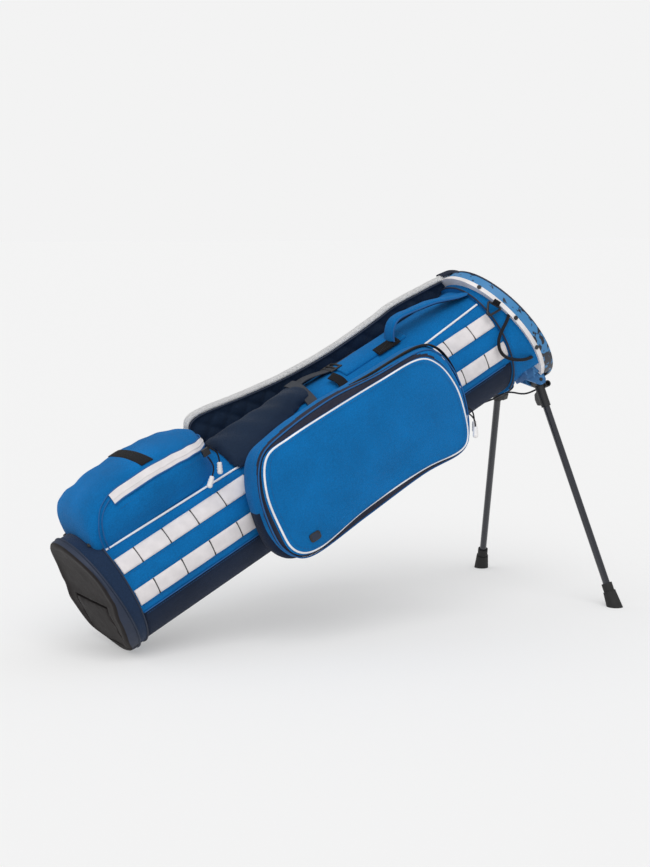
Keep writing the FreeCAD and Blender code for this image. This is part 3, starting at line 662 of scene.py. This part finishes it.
def clothing_pocket():
    """Gusset, edge band and crowned front panel."""
    waist = [((s + wide_s * 2) / 3, (u + wide_u * 2) / 3)
             for (s, u), (wide_s, wide_u) in zip(POCKET_BASE, POCKET_BULGE)]
    layers = [(POCKET_BASE, -46, 0), (POCKET_BASE, -64, 0), (waist, -86, 0), (POCKET_BULGE, -104, 0),
              (POCKET_BULGE, -116, 0), (POCKET_BULGE, -126, 0), (POCKET_BAND, -132, -0.012),
              (POCKET_BAND, -139, -0.006), (POCKET_BAND, -145, 0)]
    rows = []
    for layer, (outline, y, inset) in enumerate(layers):
        row = []
        for s, u in pocket_ring(outline, inset):
            point = at(s, y, u)
            if 1 < layer < 7:
                out = outward(s, u)
                point += (E1 * out.x + E3 * out.z) * cloth_wobble(point, 2.6, 38, 3.1) * MM
            row.append(point)
        rows.append(row)
    gusset = grid("clothing_gusset", rows[:7], [BLUE_CLOTH, NAVY_CLOTH], wrap=True, ends=(0,),
                  slot_of=lambda i, j: 0 if NAVY_UNTIL <= j / RING_POINTS <= NAVY_FROM else 1)
    put(subdivided(gusset), "clothing_pocket_gusset")

    keys = rows[6:] + [[at(s, -149, u) for s, u in pocket_ring(POCKET_BAND, 0.018)],
                       [at(s, -150.5, u) for s, u in pocket_ring(POCKET_FRONT, -0.03)]]
    rows = []
    for first, second in zip(keys, keys[1:]):
        rows += [[p.lerp(q, step / 4) for p, q in zip(first, second)] for step in range(4)]
    rows.append(keys[-1])
    steps = len(rows) - 1
    band = grid("clothing_band", rows, [CHARCOAL_CLOTH, BLUE_CLOTH], wrap=True,
                slot_of=lambda i, j: 0 if i >= steps * (1 - profile(CRESCENTS, j / RING_POINTS)) else 1)
    put(subdivided(band))

    rows = []
    for step, inset in enumerate([-0.035, -0.02, 0.0] + [0.03 + 0.96 * k / 12 for k in range(12)]):
        row = []
        for s, u in pocket_ring(POCKET_FRONT, inset):
            rise = 0.0 if step < 2 else crown(s, u) + 1.5
            wrinkle = cloth_wobble(at(s, 0, u), 0.9, 30, 7.7) * min(1, max(0, inset) * 12)
            row.append(at(s, FRONT_Y - rise - wrinkle, u))
        rows.append(row)
    front = grid("clothing_front", rows, [BLUE_FRONT], wrap=True, ends=(1,))
    put(subdivided(front, 2), "clothing_pocket_front")


def clothing_trim():
    """White piping, zip round the gusset, blue edge cord, stitches and a plain rubber badge."""
    ring = [at(s, -152.2, u) for s, u in pocket_ring(POCKET_FRONT, -0.012)]
    put(cord("clothing_piping", ring[::2], 1.7, WHITE_CORD, closed=True),
        "clothing_pocket_piping")
    edge = [at(s, -146.5, u) for s, u in pocket_ring(POCKET_BAND, -0.008)]
    put(cord("clothing_edge_cord", edge[::2], 1.2, BLUE_CORD, closed=True))
    inside = [at(s, -153.2 - crown(s, u), u) for s, u in pocket_ring(POCKET_FRONT, 0.03)]
    put(stitches("clothing_stitch", inside + inside[:1], BLUE_THREAD))

    upper = pocket_ring(POCKET_BULGE, -0.003)
    start = min(range(RING_POINTS), key=lambda i: abs(upper[i][0] - 640) + abs(upper[i][1] + 38))
    tape, teeth = [], []
    for k in range(6, 44):
        s, u = upper[(start + k) % RING_POINTS]
        out = outward(s, u)
        tape.append([at(s + out.x * lift, ZIP_Y + step, u + out.z * lift)
                     for step, lift in ((-4.5, 0.4), (-4, 1.4), (-1, 1.6), (1, 1.6), (4, 1.4), (4.5, 0.4))])
        teeth.append(at(s + out.x * 2.2, ZIP_Y, u + out.z * 2.2))
    put(solid(grid("clothing_zip_tape", tape, [BLACK_CLOTH]), 0.8), "clothing_pocket_zip")
    put(cord("clothing_zip_teeth", teeth, 1.3, ZIP_TEETH))

    s0, u0 = BADGE_PLACE
    for name, reach, lift, material in (("rim", 1.0, 1.4, BLACK_PLASTIC), ("face", 0.72, 1.9, NAVY_CORD)):
        half_s, half_u = BADGE_HALF[0] * reach, BADGE_HALF[1] * reach
        corners = [(s0 + half_s * rounded(c, 0.5), u0 + half_u * rounded(n, 0.5)) for c, n in turns(40)]
        rows = [[at(s, -153.0 - crown(s, u) - h, u) for s, u in corners] for h in (-1.5, lift - 0.4)]
        rows.append([at(s0 + (s - s0) * 0.93, -153.0 - crown(s, u) - lift, u0 + (u - u0) * 0.93)
                     for s, u in corners])
        put(grid("badge_" + name, rows, [material], wrap=True, ends=(1,)))


# ------------------------------------------------------------------ ball pocket

BALL_SECTION = [(-59, 68), (-67, 98), (-71, 118), (-70, 131), (-64, 144), (-50, 153), (-20, 160),
                (15, 161.5), (40, 158.5), (54, 148), (60, 120), (60, 62)]
BALL_HEIGHT = [(22, 118), (27, 135), (37, 145), (57, 154), (97, 160), (145, 161), (186, 158), (214, 154),
               (241, 147), (260, 140)]
BALL_ROUND = spline_through([(0, y, u) for y, u in BALL_SECTION], 81)
BALL_FOOT, BALL_TOP = 68, 161.5
BALL_START, BALL_TURN, BALL_END = 22, 200, 60    # base end; where the plan rounds off, and over what length
BAND_START, BAND_LOW, BAND_HIGH = 76, 131, 146


def ball_point(s, k, lift=0.0):
    """Point k of the pocket's cross-section at s; the mouth-side end is round in plan."""
    y, u = BALL_ROUND[k].y, BALL_ROUND[k].z
    tall = (profile(BALL_HEIGHT, s) - BALL_FOOT) / (BALL_TOP - BALL_FOOT)
    plan = 1.0
    if s > BALL_TURN:
        plan = math.sqrt(max(0.0, 1 - ((s - BALL_TURN) / BALL_END) ** 2))
    elif s < 2 * BALL_START:
        plan = 1 - 0.16 * ((2 * BALL_START - s) / BALL_START) ** 2
    out = Vector((max(0.0, s - BALL_TURN), y * plan, u - 104)).normalized() * lift
    return at(s + out.x, -5 + (y + 5) * plan + out.y, BALL_FOOT + (u - BALL_FOOT) * tall + out.z)


def section_index(u, near=True):
    order = range(len(BALL_ROUND)) if near else reversed(range(len(BALL_ROUND)))
    return next(k for k in order if BALL_ROUND[k].z >= u)


def ball_stations(start, flat, curved, sweep, reach=1.0):
    """Stations along the straight part, then closing up round the nose."""
    return ([start + (BALL_TURN - start) * i / flat for i in range(flat + 1)]
            + [BALL_TURN + BALL_END * math.sin(math.radians(sweep * i / curved)) * reach
               for i in range(1, curved + 1)])


def ball_pocket():
    """Pocket on the strap side: round nose, light zip band round it, seams and a patch over the lid."""
    last = len(BALL_ROUND) - 1
    rows = []
    for s in ball_stations(BALL_START, 60, 26, 90, 0.999):
        row = []
        for k in range(last + 1):
            point = ball_point(s, k)
            soft = 1 if 8 < k < last - 4 else 0.3
            sag = 2.2 * math.exp(-((s - 62 - (point.y * 60)) / 9) ** 2) * (1 if k > 36 else 0)
            row.append(point + E3 * (cloth_wobble(point, 1.3, 40, 5.0) * soft - sag) * MM
                       + E2 * cloth_wobble(point, 1.6, 36, 8.0) * soft * MM)
        rows.append(row)
    body = puffed(grid("ball_cover", rows, [BLUE_CLOTH], wrap=True, ends=(0, 1)), voxel=5.0, cap=1.6)
    put(subdivided(body), "ball_pocket_body")

    low, high = section_index(BAND_LOW), section_index(BAND_HIGH)
    run = ball_stations(BAND_START, 40, 24, 86)
    tape = [[ball_point(s, k, lift) for k, lift in
             [(low, 0.6)] + [(k, 1.7) for k in range(low, high + 1)] + [(high, 0.6)]] for s in run]
    put(subdivided(solid(grid("ball_zip_tape", tape, [WHITE_WEB]), 0.9)), "ball_pocket_zip")
    for name, k, lift, radius, material, slot in (
            ("low", low, 1.2, 1.3, BLUE_CORD, "blue_fabric"),
            ("high", high, 1.2, 1.3, BLUE_CORD, "blue_fabric"),
            ("coil", (low + high) // 2, 2.3, 0.8, RING_PLASTIC, "white_trim")):
        put(cord("ball_band_" + name, [ball_point(s, k, lift) for s in run], radius, material))

    for name, gap in (("outer", 0), ("inner", 6)):
        route = [(76 - gap * 0.3, 146 - gap), (58, 142 - gap), (44 + gap * 0.6, 131 - gap), (37 + gap, 116),
                 (34 + gap, 98), (35 + gap, 74)]
        points = [ball_point(p.x, section_index(p.z), 0.9)
                  for p in spline_through([(s, 0, u) for s, u in route], 8)]
        put(cord("ball_seam_" + name, points, 0.9, BLUE_CORD))
    put(stitches("ball_stitch", [ball_point(s, low - 3, 0.9) for s in run], BLUE_THREAD))

    rows = []
    for k in range(section_index(150), section_index(159, near=False) + 1):
        middle = 150 - 0.12 * (BALL_ROUND[k].y + 20)
        rows.append([ball_point(middle + 10.5 * w, k, 1.6 if abs(w) < 0.99 else 0.9)
                     for w in (-1, -0.92, -0.4, 0.4, 0.92, 1)])
    put(subdivided(solid(grid("ball_patch", rows, [BLACK_CLOTH]), 1.2)), "ball_pocket_patch")


# ------------------------------------------------------------------ side pocket on the far flank

FAR_OUTLINE = [(300, -40), (306, -56), (430, -60), (552, -56), (568, -40), (574, 10), (566, 60), (552, 76),
               (430, 78), (308, 76), (294, 60), (288, 10)]
FAR_MIDDLE = (431, 10)
FAR_LAYERS = [(50, 0), (70, 0), (95, -0.01), (112, -0.005), (119, 0.01), (122.5, 0.04), (124, 0.09),
              (126, 0.25), (128, 0.5), (129, 0.8)]


def side_pocket():
    def ring(y, inset):
        return [at(s, y, u) for s, u in drawn_in(FAR_OUTLINE, FAR_MIDDLE, 120, inset)]

    rows = [[p + (E2 + E3) * cloth_wobble(p, 1.5, 36, 2.0) * MM for p in ring(y, inset)]
            for y, inset in FAR_LAYERS]
    body = grid("side_pocket_cover", rows, [NAVY_CLOTH, BLUE_CLOTH], wrap=True, ends=(0, 1),
                slot_of=lambda i, j: 1 if i > 4 else 0)
    put(subdivided(body), "side_pocket")
    put(cord("side_pocket_piping", ring(123.4, 0.03)[::2], 1.6, WHITE_CORD, closed=True))
    put(cord("side_pocket_zip", ring(100, -0.012)[40:110], 1.6, ZIP_TEETH))


# ------------------------------------------------------------------ straps and handle

# Top edge (s, u) of the far pad; its middle stands at STRAP_Y.
FAR_TOP = [(262, 106), (266, 128), (274, 143), (295, 147), (340, 140), (379, 133), (452, 123), (530, 118),
           (599, 119), (650, 122), (691, 125), (752, 121), (799, 117), (822, 113), (833, 108)]
STRAP_Y, STRAP_HALF, EDGE_DROP, QUILT = 41, 6.5, 7, 38
FACE_POINTS, EDGE_POINTS, BACK_POINTS, STRAP_ROWS = 22, 9, 12, 150


def far_strap():
    """Wide pad standing on edge: quilted face towards the near side, light mesh over its top edge."""
    line = spline_through([(s, 0, u) for s, u in FAR_TOP], STRAP_ROWS)
    rows = []
    for i, p in enumerate(line):
        s, top = p.x, p.z
        end = min(1.0, (i + 1) / 8, (STRAP_ROWS - i) / 8)
        thick = STRAP_HALF * end ** 0.5
        foot = 80 + 1.5 * math.sin(s / 45) + profile([(750, 0), (800, 14), (833, 22)], s)
        lean = 4 * math.sin((s - 262) / 545 * math.pi)
        row = []
        for j in range(FACE_POINTS):
            part = j / (FACE_POINTS - 1)
            u = foot + (top - EDGE_DROP - foot) * part
            quilt = abs(math.sin(math.pi * (s + u) / QUILT)) * abs(math.sin(math.pi * (s - u) / QUILT))
            calm = min(1.0, (FACE_POINTS - 1 - j) / 5)
            y = STRAP_Y - thick + lean * (1 - part) - (quilt ** 0.4 - 0.6) * 4.5 * end * calm
            row.append(at(s, y + cloth_wobble(at(s, 40, u), 2.2, 40, 9) * calm, u))
        bump = cloth_wobble(at(s, STRAP_Y, top), 0.5, 22, 4)
        for j in range(EDGE_POINTS):
            turn = math.pi * (j + 0.5) / EDGE_POINTS
            row.append(at(s, STRAP_Y - (thick + 1.8) * math.cos(turn),
                          top - EDGE_DROP + (7.5 + bump) * math.sin(turn)))
        for j in range(BACK_POINTS):
            part = 1 - j / (BACK_POINTS - 1)
            u = foot + (top - EDGE_DROP - foot) * part
            wave = cloth_wobble(at(s, 48, u), 1.6, 40, 1)
            row.append(at(s, STRAP_Y + thick + lean * (1 - part) + wave, u))
        rows.append(row)
    pad = grid("far_strap_pad", rows, [STRAP_CLOTH, MESH_CLOTH, NAVY_CLOTH], wrap=True, ends=(0, 1),
               slot_of=lambda i, j: 0 if j < FACE_POINTS - 1 else (1 if j < FACE_POINTS + 8 else 2))
    put(subdivided(pad), "strap_pad_far")
    for name, y in (("near", 31.8), ("far", 50.2)):
        path = [at(p.x, y, p.z - 8.5) for p in line[4:-4]]
        put(cord("far_strap_piping_" + name, path[::2], 1.2, NAVY_CORD))

    tail = spline_through([(800, 0, 118.6), (812, 0, 117), (824, 0, 114.5), (834, 0, 109)], 30)
    rows = [[at(p.x, y, p.z + lift) for y, lift in ((30, -3.6), (32, -1), (41, 0.4), (50, -1), (52, -3.6))]
            for p in tail]
    put(subdivided(solid(grid("far_strap_tail", rows, [NAVY_WEB]), 2.4)),
        "strap_webbing_far")


NEAR_LINE = [(270, -22), (320, -24), (375, -18), (425, -10), (456, -6)]
NEAR_ROWS, NEAR_ACROSS = 90, 22
# Tapes (s, y, height above the tube): name, route, half width, lift, material, CAD node, slot.
TAPES = (
    ("near_strap_web", [(448, 4, 11), (470, 5, 12), (490, 4, 9), (512, 3, 4), (545, 3, 1), (580, 3, 1)],
     12.5, 0.4, GREY_WEB, "strap_webbing_near", "grey_webbing"),
    ("cross_web", [(446, 12, 16), (447, -4, 13), (446, -30, 6), (442, -55, 3), (438, -80, 2)],
     9, 1.2, GREY_WEB, None, "grey_webbing"),
    ("clip_web", [(499, -30, 9), (503, -48, 8), (500, -64, 4), (494, -80, 2)],
     8, 1.4, BLACK_CLOTH, None, "black_fabric"),
)


def on_top(s, y, lift):
    """Point resting on the strap side of the tube."""
    return at(s, y, BODY_UP * math.sqrt(max(0.0, 1 - (y / BODY_SIDE) ** 2)) + lift)


def near_pad():
    """The second pad, lying slack along the tube."""
    line = spline_through([(s, y, 0) for s, y in NEAR_LINE], NEAR_ROWS)
    rows = []
    for i, p in enumerate(line):
        ahead = heading(line, i)
        side = Vector((-ahead.y, ahead.x, 0))
        half = 48 - 18 * (i / (NEAR_ROWS - 1)) if i > 3 else 40 + 2 * i
        half *= 1 - 0.05 * max(0, i - 84)
        ends = min(1.0, (i + 1) / 6, (NEAR_ROWS + 1 - i) / 6)
        upper, lower = [], []
        for j in range(NEAR_ACROSS + 1):
            w = 2 * j / NEAR_ACROSS - 1
            s, y, _ = p + side * half * w
            round_off = math.sqrt(max(0.0, 1 - w * w))
            fold = cloth_wobble(at(s, y, 0), 5.0, 46, 6) + 1.2 * math.sin(s / 7 + y / 11)
            body = 9 * round_off ** 0.6 * ends
            upper.append(on_top(s, y, 5.0 + 0.8 * body + fold * round_off * ends))
            lower.append(on_top(s, y, 0.6))
        rows.append(upper + lower[::-1])
    pad = puffed(grid("near_strap_pad", rows, [STRAP_CLOTH], wrap=True, ends=(0, 1)), voxel=4.0, cap=4.0)
    put(subdivided(pad), "strap_pad_near")


def near_webbing():
    """Webbing of the near pad, the tape across it, a clip's tape, and the ladder lock."""
    for name, route, half, lift, material, node, slot in TAPES:
        path = spline_through(route, 40)
        rows = []
        for i, p in enumerate(path):
            ahead = heading(path, i)
            side = Vector((-ahead.y, ahead.x, 0)).normalized() * half
            rows.append([on_top(p.x + side.x * w, p.y + side.y * w, lift + p.z)
                         for w in (-1, -0.9, 0, 0.9, 1)])
        put(solid(grid(name, rows, [material]), 1.7), node)
    bars = [([(s, y, 4.6) for y in (-13, -7, 0, 7, 13, 18)], 1.7) for s in (513, 522, 531)]
    bars += [([(s, y, 4.4) for s in (511, 518, 526, 533)], 1.9) for y in (-13.5, 18.5)]
    parts = [as_mesh(cord("lock_bar", [on_top(*p) for p in points], radius, BLACK_PLASTIC))
             for points, radius in bars]
    put(joined("ladder_lock_body", parts), "strap_ladder_lock")


HANDLE_LINE = [(622, 94), (628, 108), (639, 119), (654, 122), (688, 117.5), (720, 112), (748, 103),
               (768, 96.5), (787, 93)]
HANDLE_ROWS, HANDLE_SIDES = 90, 36
RIDGE_START, RIDGE_LENGTH = 522, 128
PATCH_CORNERS = [(591, 65), (631, 65), (631, 74), (591, 74), (591, 65), (631, 74)]


def handle():
    """Padded grab handle with piped edges, the ridge it is sewn to and its black patch."""
    line = spline_through([(s, 0, u) for s, u in HANDLE_LINE], HANDLE_ROWS)
    rows = []
    for i, p in enumerate(line):
        ahead = heading(line, i)
        up = Vector((-ahead.z, 0, ahead.x))
        plump = 0.55 + 0.45 * math.sin(math.pi * i / (HANDLE_ROWS - 1)) ** 0.5
        row = []
        for c, n in turns(HANDLE_SIDES):
            y = -30 + 12 * rounded(c, 0.55)
            lift = 4.2 * plump * rounded(n, 0.8) + cloth_wobble(at(p.x, y, p.z), 0.8, 18, 3)
            row.append(at(p.x + up.x * lift, y, p.z + up.z * lift))
        rows.append(row)
    grip = grid("handle_pad", rows, [BLUE_CLOTH, NAVY_CLOTH], wrap=True, ends=(0, 1),
                slot_of=lambda i, j: 1 if j >= HANDLE_SIDES // 2 else 0)
    put(subdivided(grip), "grab_handle")
    for name, y in (("near", -42.4), ("far", -17.6)):
        put(cord("handle_piping_" + name, [at(p.x, y, p.z) for p in line[::3]], 1.4, BLUE_CORD))

    def swell(s, part):
        return 2.5 * math.sin(math.pi * part) * math.sin(math.pi * (s - RIDGE_START) / RIDGE_LENGTH)

    ridge = sewn_panel("handle_ridge", 66, 96, RIDGE_START, RIDGE_LENGTH, 0.3, 3.0, BLUE_CLOTH, None,
                       "blue_fabric", 20, 50, swell)
    sewn_panel("handle_patch_cloth", 63, 76, 588, 46, 3.8, 1.6, BLACK_CLOTH, "handle_patch", "black_fabric",
               12, 20)
    path = []
    for (s0, d0), (s1, d1) in zip(PATCH_CORNERS, PATCH_CORNERS[1:]):
        path += [round_tube(s0 + (s1 - s0) * k / 8, d0 + (d1 - d0) * k / 8, 6.0) for k in range(8)]
    put(stitches("patch_stitch", path, GREY_WEB, 2.2, 1.4, 0.35))


# ------------------------------------------------------------------ base

RAKE = math.tan(math.radians(4.9))
SWELL = [(-95, 0.25), (-62, 1.0), (-20, 0.75), (12, -0.15), (45, -0.45), (100, 0)]
# Rings of the sole (s, half height, half width), from the cup's hem round the edge to the middle.
SOLE_LAYERS = [(12.0, 100.6, 92.5), (9.0, 101.3, 93.2), (4.0, 101.3, 93.2), (1.5, 100.4, 92.4),
               (-0.4, 98.4, 90.4), (-1.4, 95.4, 87.6), (-1.6, 91, 83.4), (-0.6, 88, 80.5),
               (0.4, 84.0, 77.0), (0.8, 70, 64), (0.6, 50, 46), (0.5, 28, 26), (0.5, 12, 11)]
HEM_LAYERS = 3                            # the first rings carry the cup's navy hem
# Name, body, CAD node, box that cuts it (x from, x to, half width, z from, z to), and how it cuts.
SOLE_PARTS = (("sole_rubber_body", "bag", "base_sole", (-30, 8.2, 56, -86, -3.4), "DIFFERENCE"),
              ("heel_rubber", "heel", "heel_plate", (-30, 6.4, 55, -84.4, -7.2), "INTERSECT"))
BOX_FACES = [(0, 1, 3, 2), (4, 5, 7, 6), (0, 1, 5, 4), (2, 3, 7, 6), (0, 2, 6, 4), (1, 3, 7, 5)]


def base_ring(s, up, side):
    """Raked ring round the base, kept above the floor; the sole's own rings swell outward low down."""
    ring = []
    for c, n in turns(120):
        u = up * n
        point = at(s - u * RAKE + (-7.5 * profile(SWELL, u) if s < 2 else 0), -side * c, u)
        point.z = max(point.z, 0.0)
        ring.append(point)
    return ring


def raked(x, y, z):
    """Point of the base's own frame, tilted by the rake."""
    turn = math.atan(RAKE)
    return at(x * math.cos(turn) - z * math.sin(turn), y, x * math.sin(turn) + z * math.cos(turn))


def sole():
    """Rubber end, cut in two so that the heel plate can turn, with the cup's hem and studs."""
    rows = [base_ring(*layer) for layer in SOLE_LAYERS]
    for name, body, node, (low, high, half, under, over), how in SOLE_PARTS:
        whole = grid(name, rows, [RUBBER, NAVY_CORD], wrap=True, ends=(0, 1),
                     slot_of=lambda i, j: 1 if i < HEM_LAYERS else 0)
        corners = [raked(x, y, z) for x in (low, high) for y in (-half, half) for z in (under, over)]
        knife = mesh_piece("knife", corners, BOX_FACES, [RUBBER], smooth=False)
        carve = whole.modifiers.new("carve", "BOOLEAN")
        carve.operation = how
        carve.solver = "EXACT"
        carve.object = knife
        piece = as_mesh(whole)
        bpy.data.objects.remove(knife)
        put(piece, node, body)
    put(cord("base_lip_cord", base_ring(11.4, 101.4, 93.3)[::2], 1.5, NAVY_CORD, closed=True))
    hem = [round_tube(33, degrees, up=99.8, side=92.2) for degrees in range(-74, 255, 4)]
    put(cord("cup_hem", hem, 1.3, NAVY_CORD))
    for degrees in (62, 118):
        across = (round_tube(22, degrees + 0.5, 5) - round_tube(22, degrees - 0.5, 5)).normalized()
        rows = [[round_tube(22 + size * c, degrees, 5.4 + lift) + across * size * n * MM
                 for c, n in turns(20)] for lift, size in ((-1, 3.6), (1.2, 3.4), (2.0, 2.2), (2.2, 0.8))]
        put(grid("cup_stud_%d" % degrees, rows, [BLACK_PLASTIC], wrap=True, ends=(1,)))


# ------------------------------------------------------------------ collar

def mouth_ring(s, up, side):
    """Ring parallel to the slanted mouth."""
    return [at(s - up * n * math.tan(MOUTH_SLANT), -side * c, up * n) for c, n in turns(120)]


def collar_trim():
    """Rolled lip round the mouth, seam and stitching on the skirt."""
    put(cord("mouth_lip", mouth_ring(848.6, 116.5, 102.2)[::2], 1.7, NAVY_CORD, closed=True))
    put(cord("mouth_lining_edge", mouth_ring(840, 92.4, 87.6)[::2], 1.8, BLACK_CLOTH, closed=True))
    seam = [round_tube(787.5, -58 + 296 * k / 109, up=102.6, side=94.6) for k in range(110)]
    put(cord("skirt_seam", seam, 1.5, NAVY_CORD))
    path = [p + E1 * 4.5 * MM + (p - at(787.5, 0, 0)).normalized() * 0.8 * MM for p in seam]
    put(stitches("skirt_stitch", path, BLUE_THREAD))


# ------------------------------------------------------------------ cords

# Cord of each zip pull: body, route (s, y, u), length in metres.
PULLS = {
    "clothing_pull_upper": ("clothing_zip_slider", [(645, -132, -30), (652, -133.5, -38),
                                                    (653.5, -134, -49), (649, -134, -60)], 0.0332),
    "clothing_pull_lower": ("clothing_zip_slider", [(640, -139, -37), (640, -149, -42), (636.5, -158, -49),
                                                    (629, -163, -56)], 0.0342),
    "ball_pull_upper": ("ball_zip_slider", [(240, -80.5, 130), (246.5, -82.5, 121.5), (249, -83.5, 110.5),
                                            (244.5, -84, 100.5)], 0.0327),
    "ball_pull_lower": ("ball_zip_slider", [(233, -80.5, 117), (235, -83, 106.5), (232, -84.5, 96),
                                            (224, -85, 88.5)], 0.0326),
}
PULL_RADIUS = 1.2
# Moulded tip: (distance, radius) along the cord's end.
TIP = [(-1.0, 1.6), (-0.5, 3.0), (1.0, 3.8), (3, 3.4), (5, 4.2), (7, 3.7), (9, 4.4), (11, 3.9), (13, 4.5),
       (15.5, 4.0), (17.2, 2.0)]
# Elastic loop (s, degrees, half height, half width); it starts and ends at the collar.
LOOP_ROUTE = [(814, 23.5, 108, 98.5), (803, 20.5, 113, 104.5), (786, 16.5, 112.5, 104.5),
              (770, 11, 111, 103), (763, 2, 110, 102), (770, -7, 111, 103), (787, -14, 112.5, 104.5),
              (808, -19.5, 114, 106), (824, -23, 110, 100)]
LOOP_RADIUS, LOOP_LENGTH = 2.75, 0.1511


def zip_pulls():
    for name, (body, route, length) in PULLS.items():
        points = [at(*p) for p in route]
        pull = cord(name + "_cord", points, PULL_RADIUS, CORD_BLACK)
        put(pull, name, body)
        along = (points[-1] - points[-2]).normalized()
        side = along.cross(E2 + E3 * 0.3).normalized()
        rows = [circle(points[-1] + along * distance * MM, side, along.cross(side), radius, 28)
                for distance, radius in TIP]
        tip = grid(name + "_grip", rows, [TIP_WHITE], wrap=True, ends=(0, 1))
        put(tip, name + "_tip", body)


def elastic_loop():
    points = [round_tube(s, degrees, up=up, side=side) for s, degrees, up, side in LOOP_ROUTE]
    loop = cord("elastic_cord", points, LOOP_RADIUS, CORD_BLACK)
    put(loop, "elastic_loop")


# ------------------------------------------------------------------ finishes of the shown CAD nodes

FINISHES = (
    (CUP_PLASTIC, "base_cup"), (RUBBER, "heel_plate"), (STEEL, "heel_pin"), (STAY, "stay_rods"),
    (BLUE_CLOTH, "collar_skirt"), (RING_PLASTIC, "collar_ring"), (COLLAR_PLASTIC, "top_collar"),
    (BLACK_CLOTH, "top_divider rod_sleeve towel_tab"),
    (BLACK_PLASTIC, "collar_rivets leg_pin_near leg_pin_far leg_head_near leg_head_far rod_yoke"),
    (BRACKET_PLASTIC, "leg_bracket_near leg_bracket_far"), (LEG_TUBE, "leg_tube_near leg_tube_far"),
    (FOOT_RUBBER, "leg_foot_near leg_foot_far"), (GUNMETAL, "push_rod_near push_rod_far towel_ring"),
    (ZIP_TEETH, "clothing_pocket_slider ball_pocket_slider"),
)


def finishes():
    for material, names in FINISHES:
        for name in names.split():
            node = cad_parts[name]
            node.data.materials.clear()
            node.data.materials.append(material)


studio()
tube_cover()
tube_trim()
clothing_pocket()
clothing_trim()
ball_pocket()
side_pocket()
far_strap()
near_pad()
near_webbing()
handle()
sole()
collar_trim()
zip_pulls()
elastic_loop()
finishes()
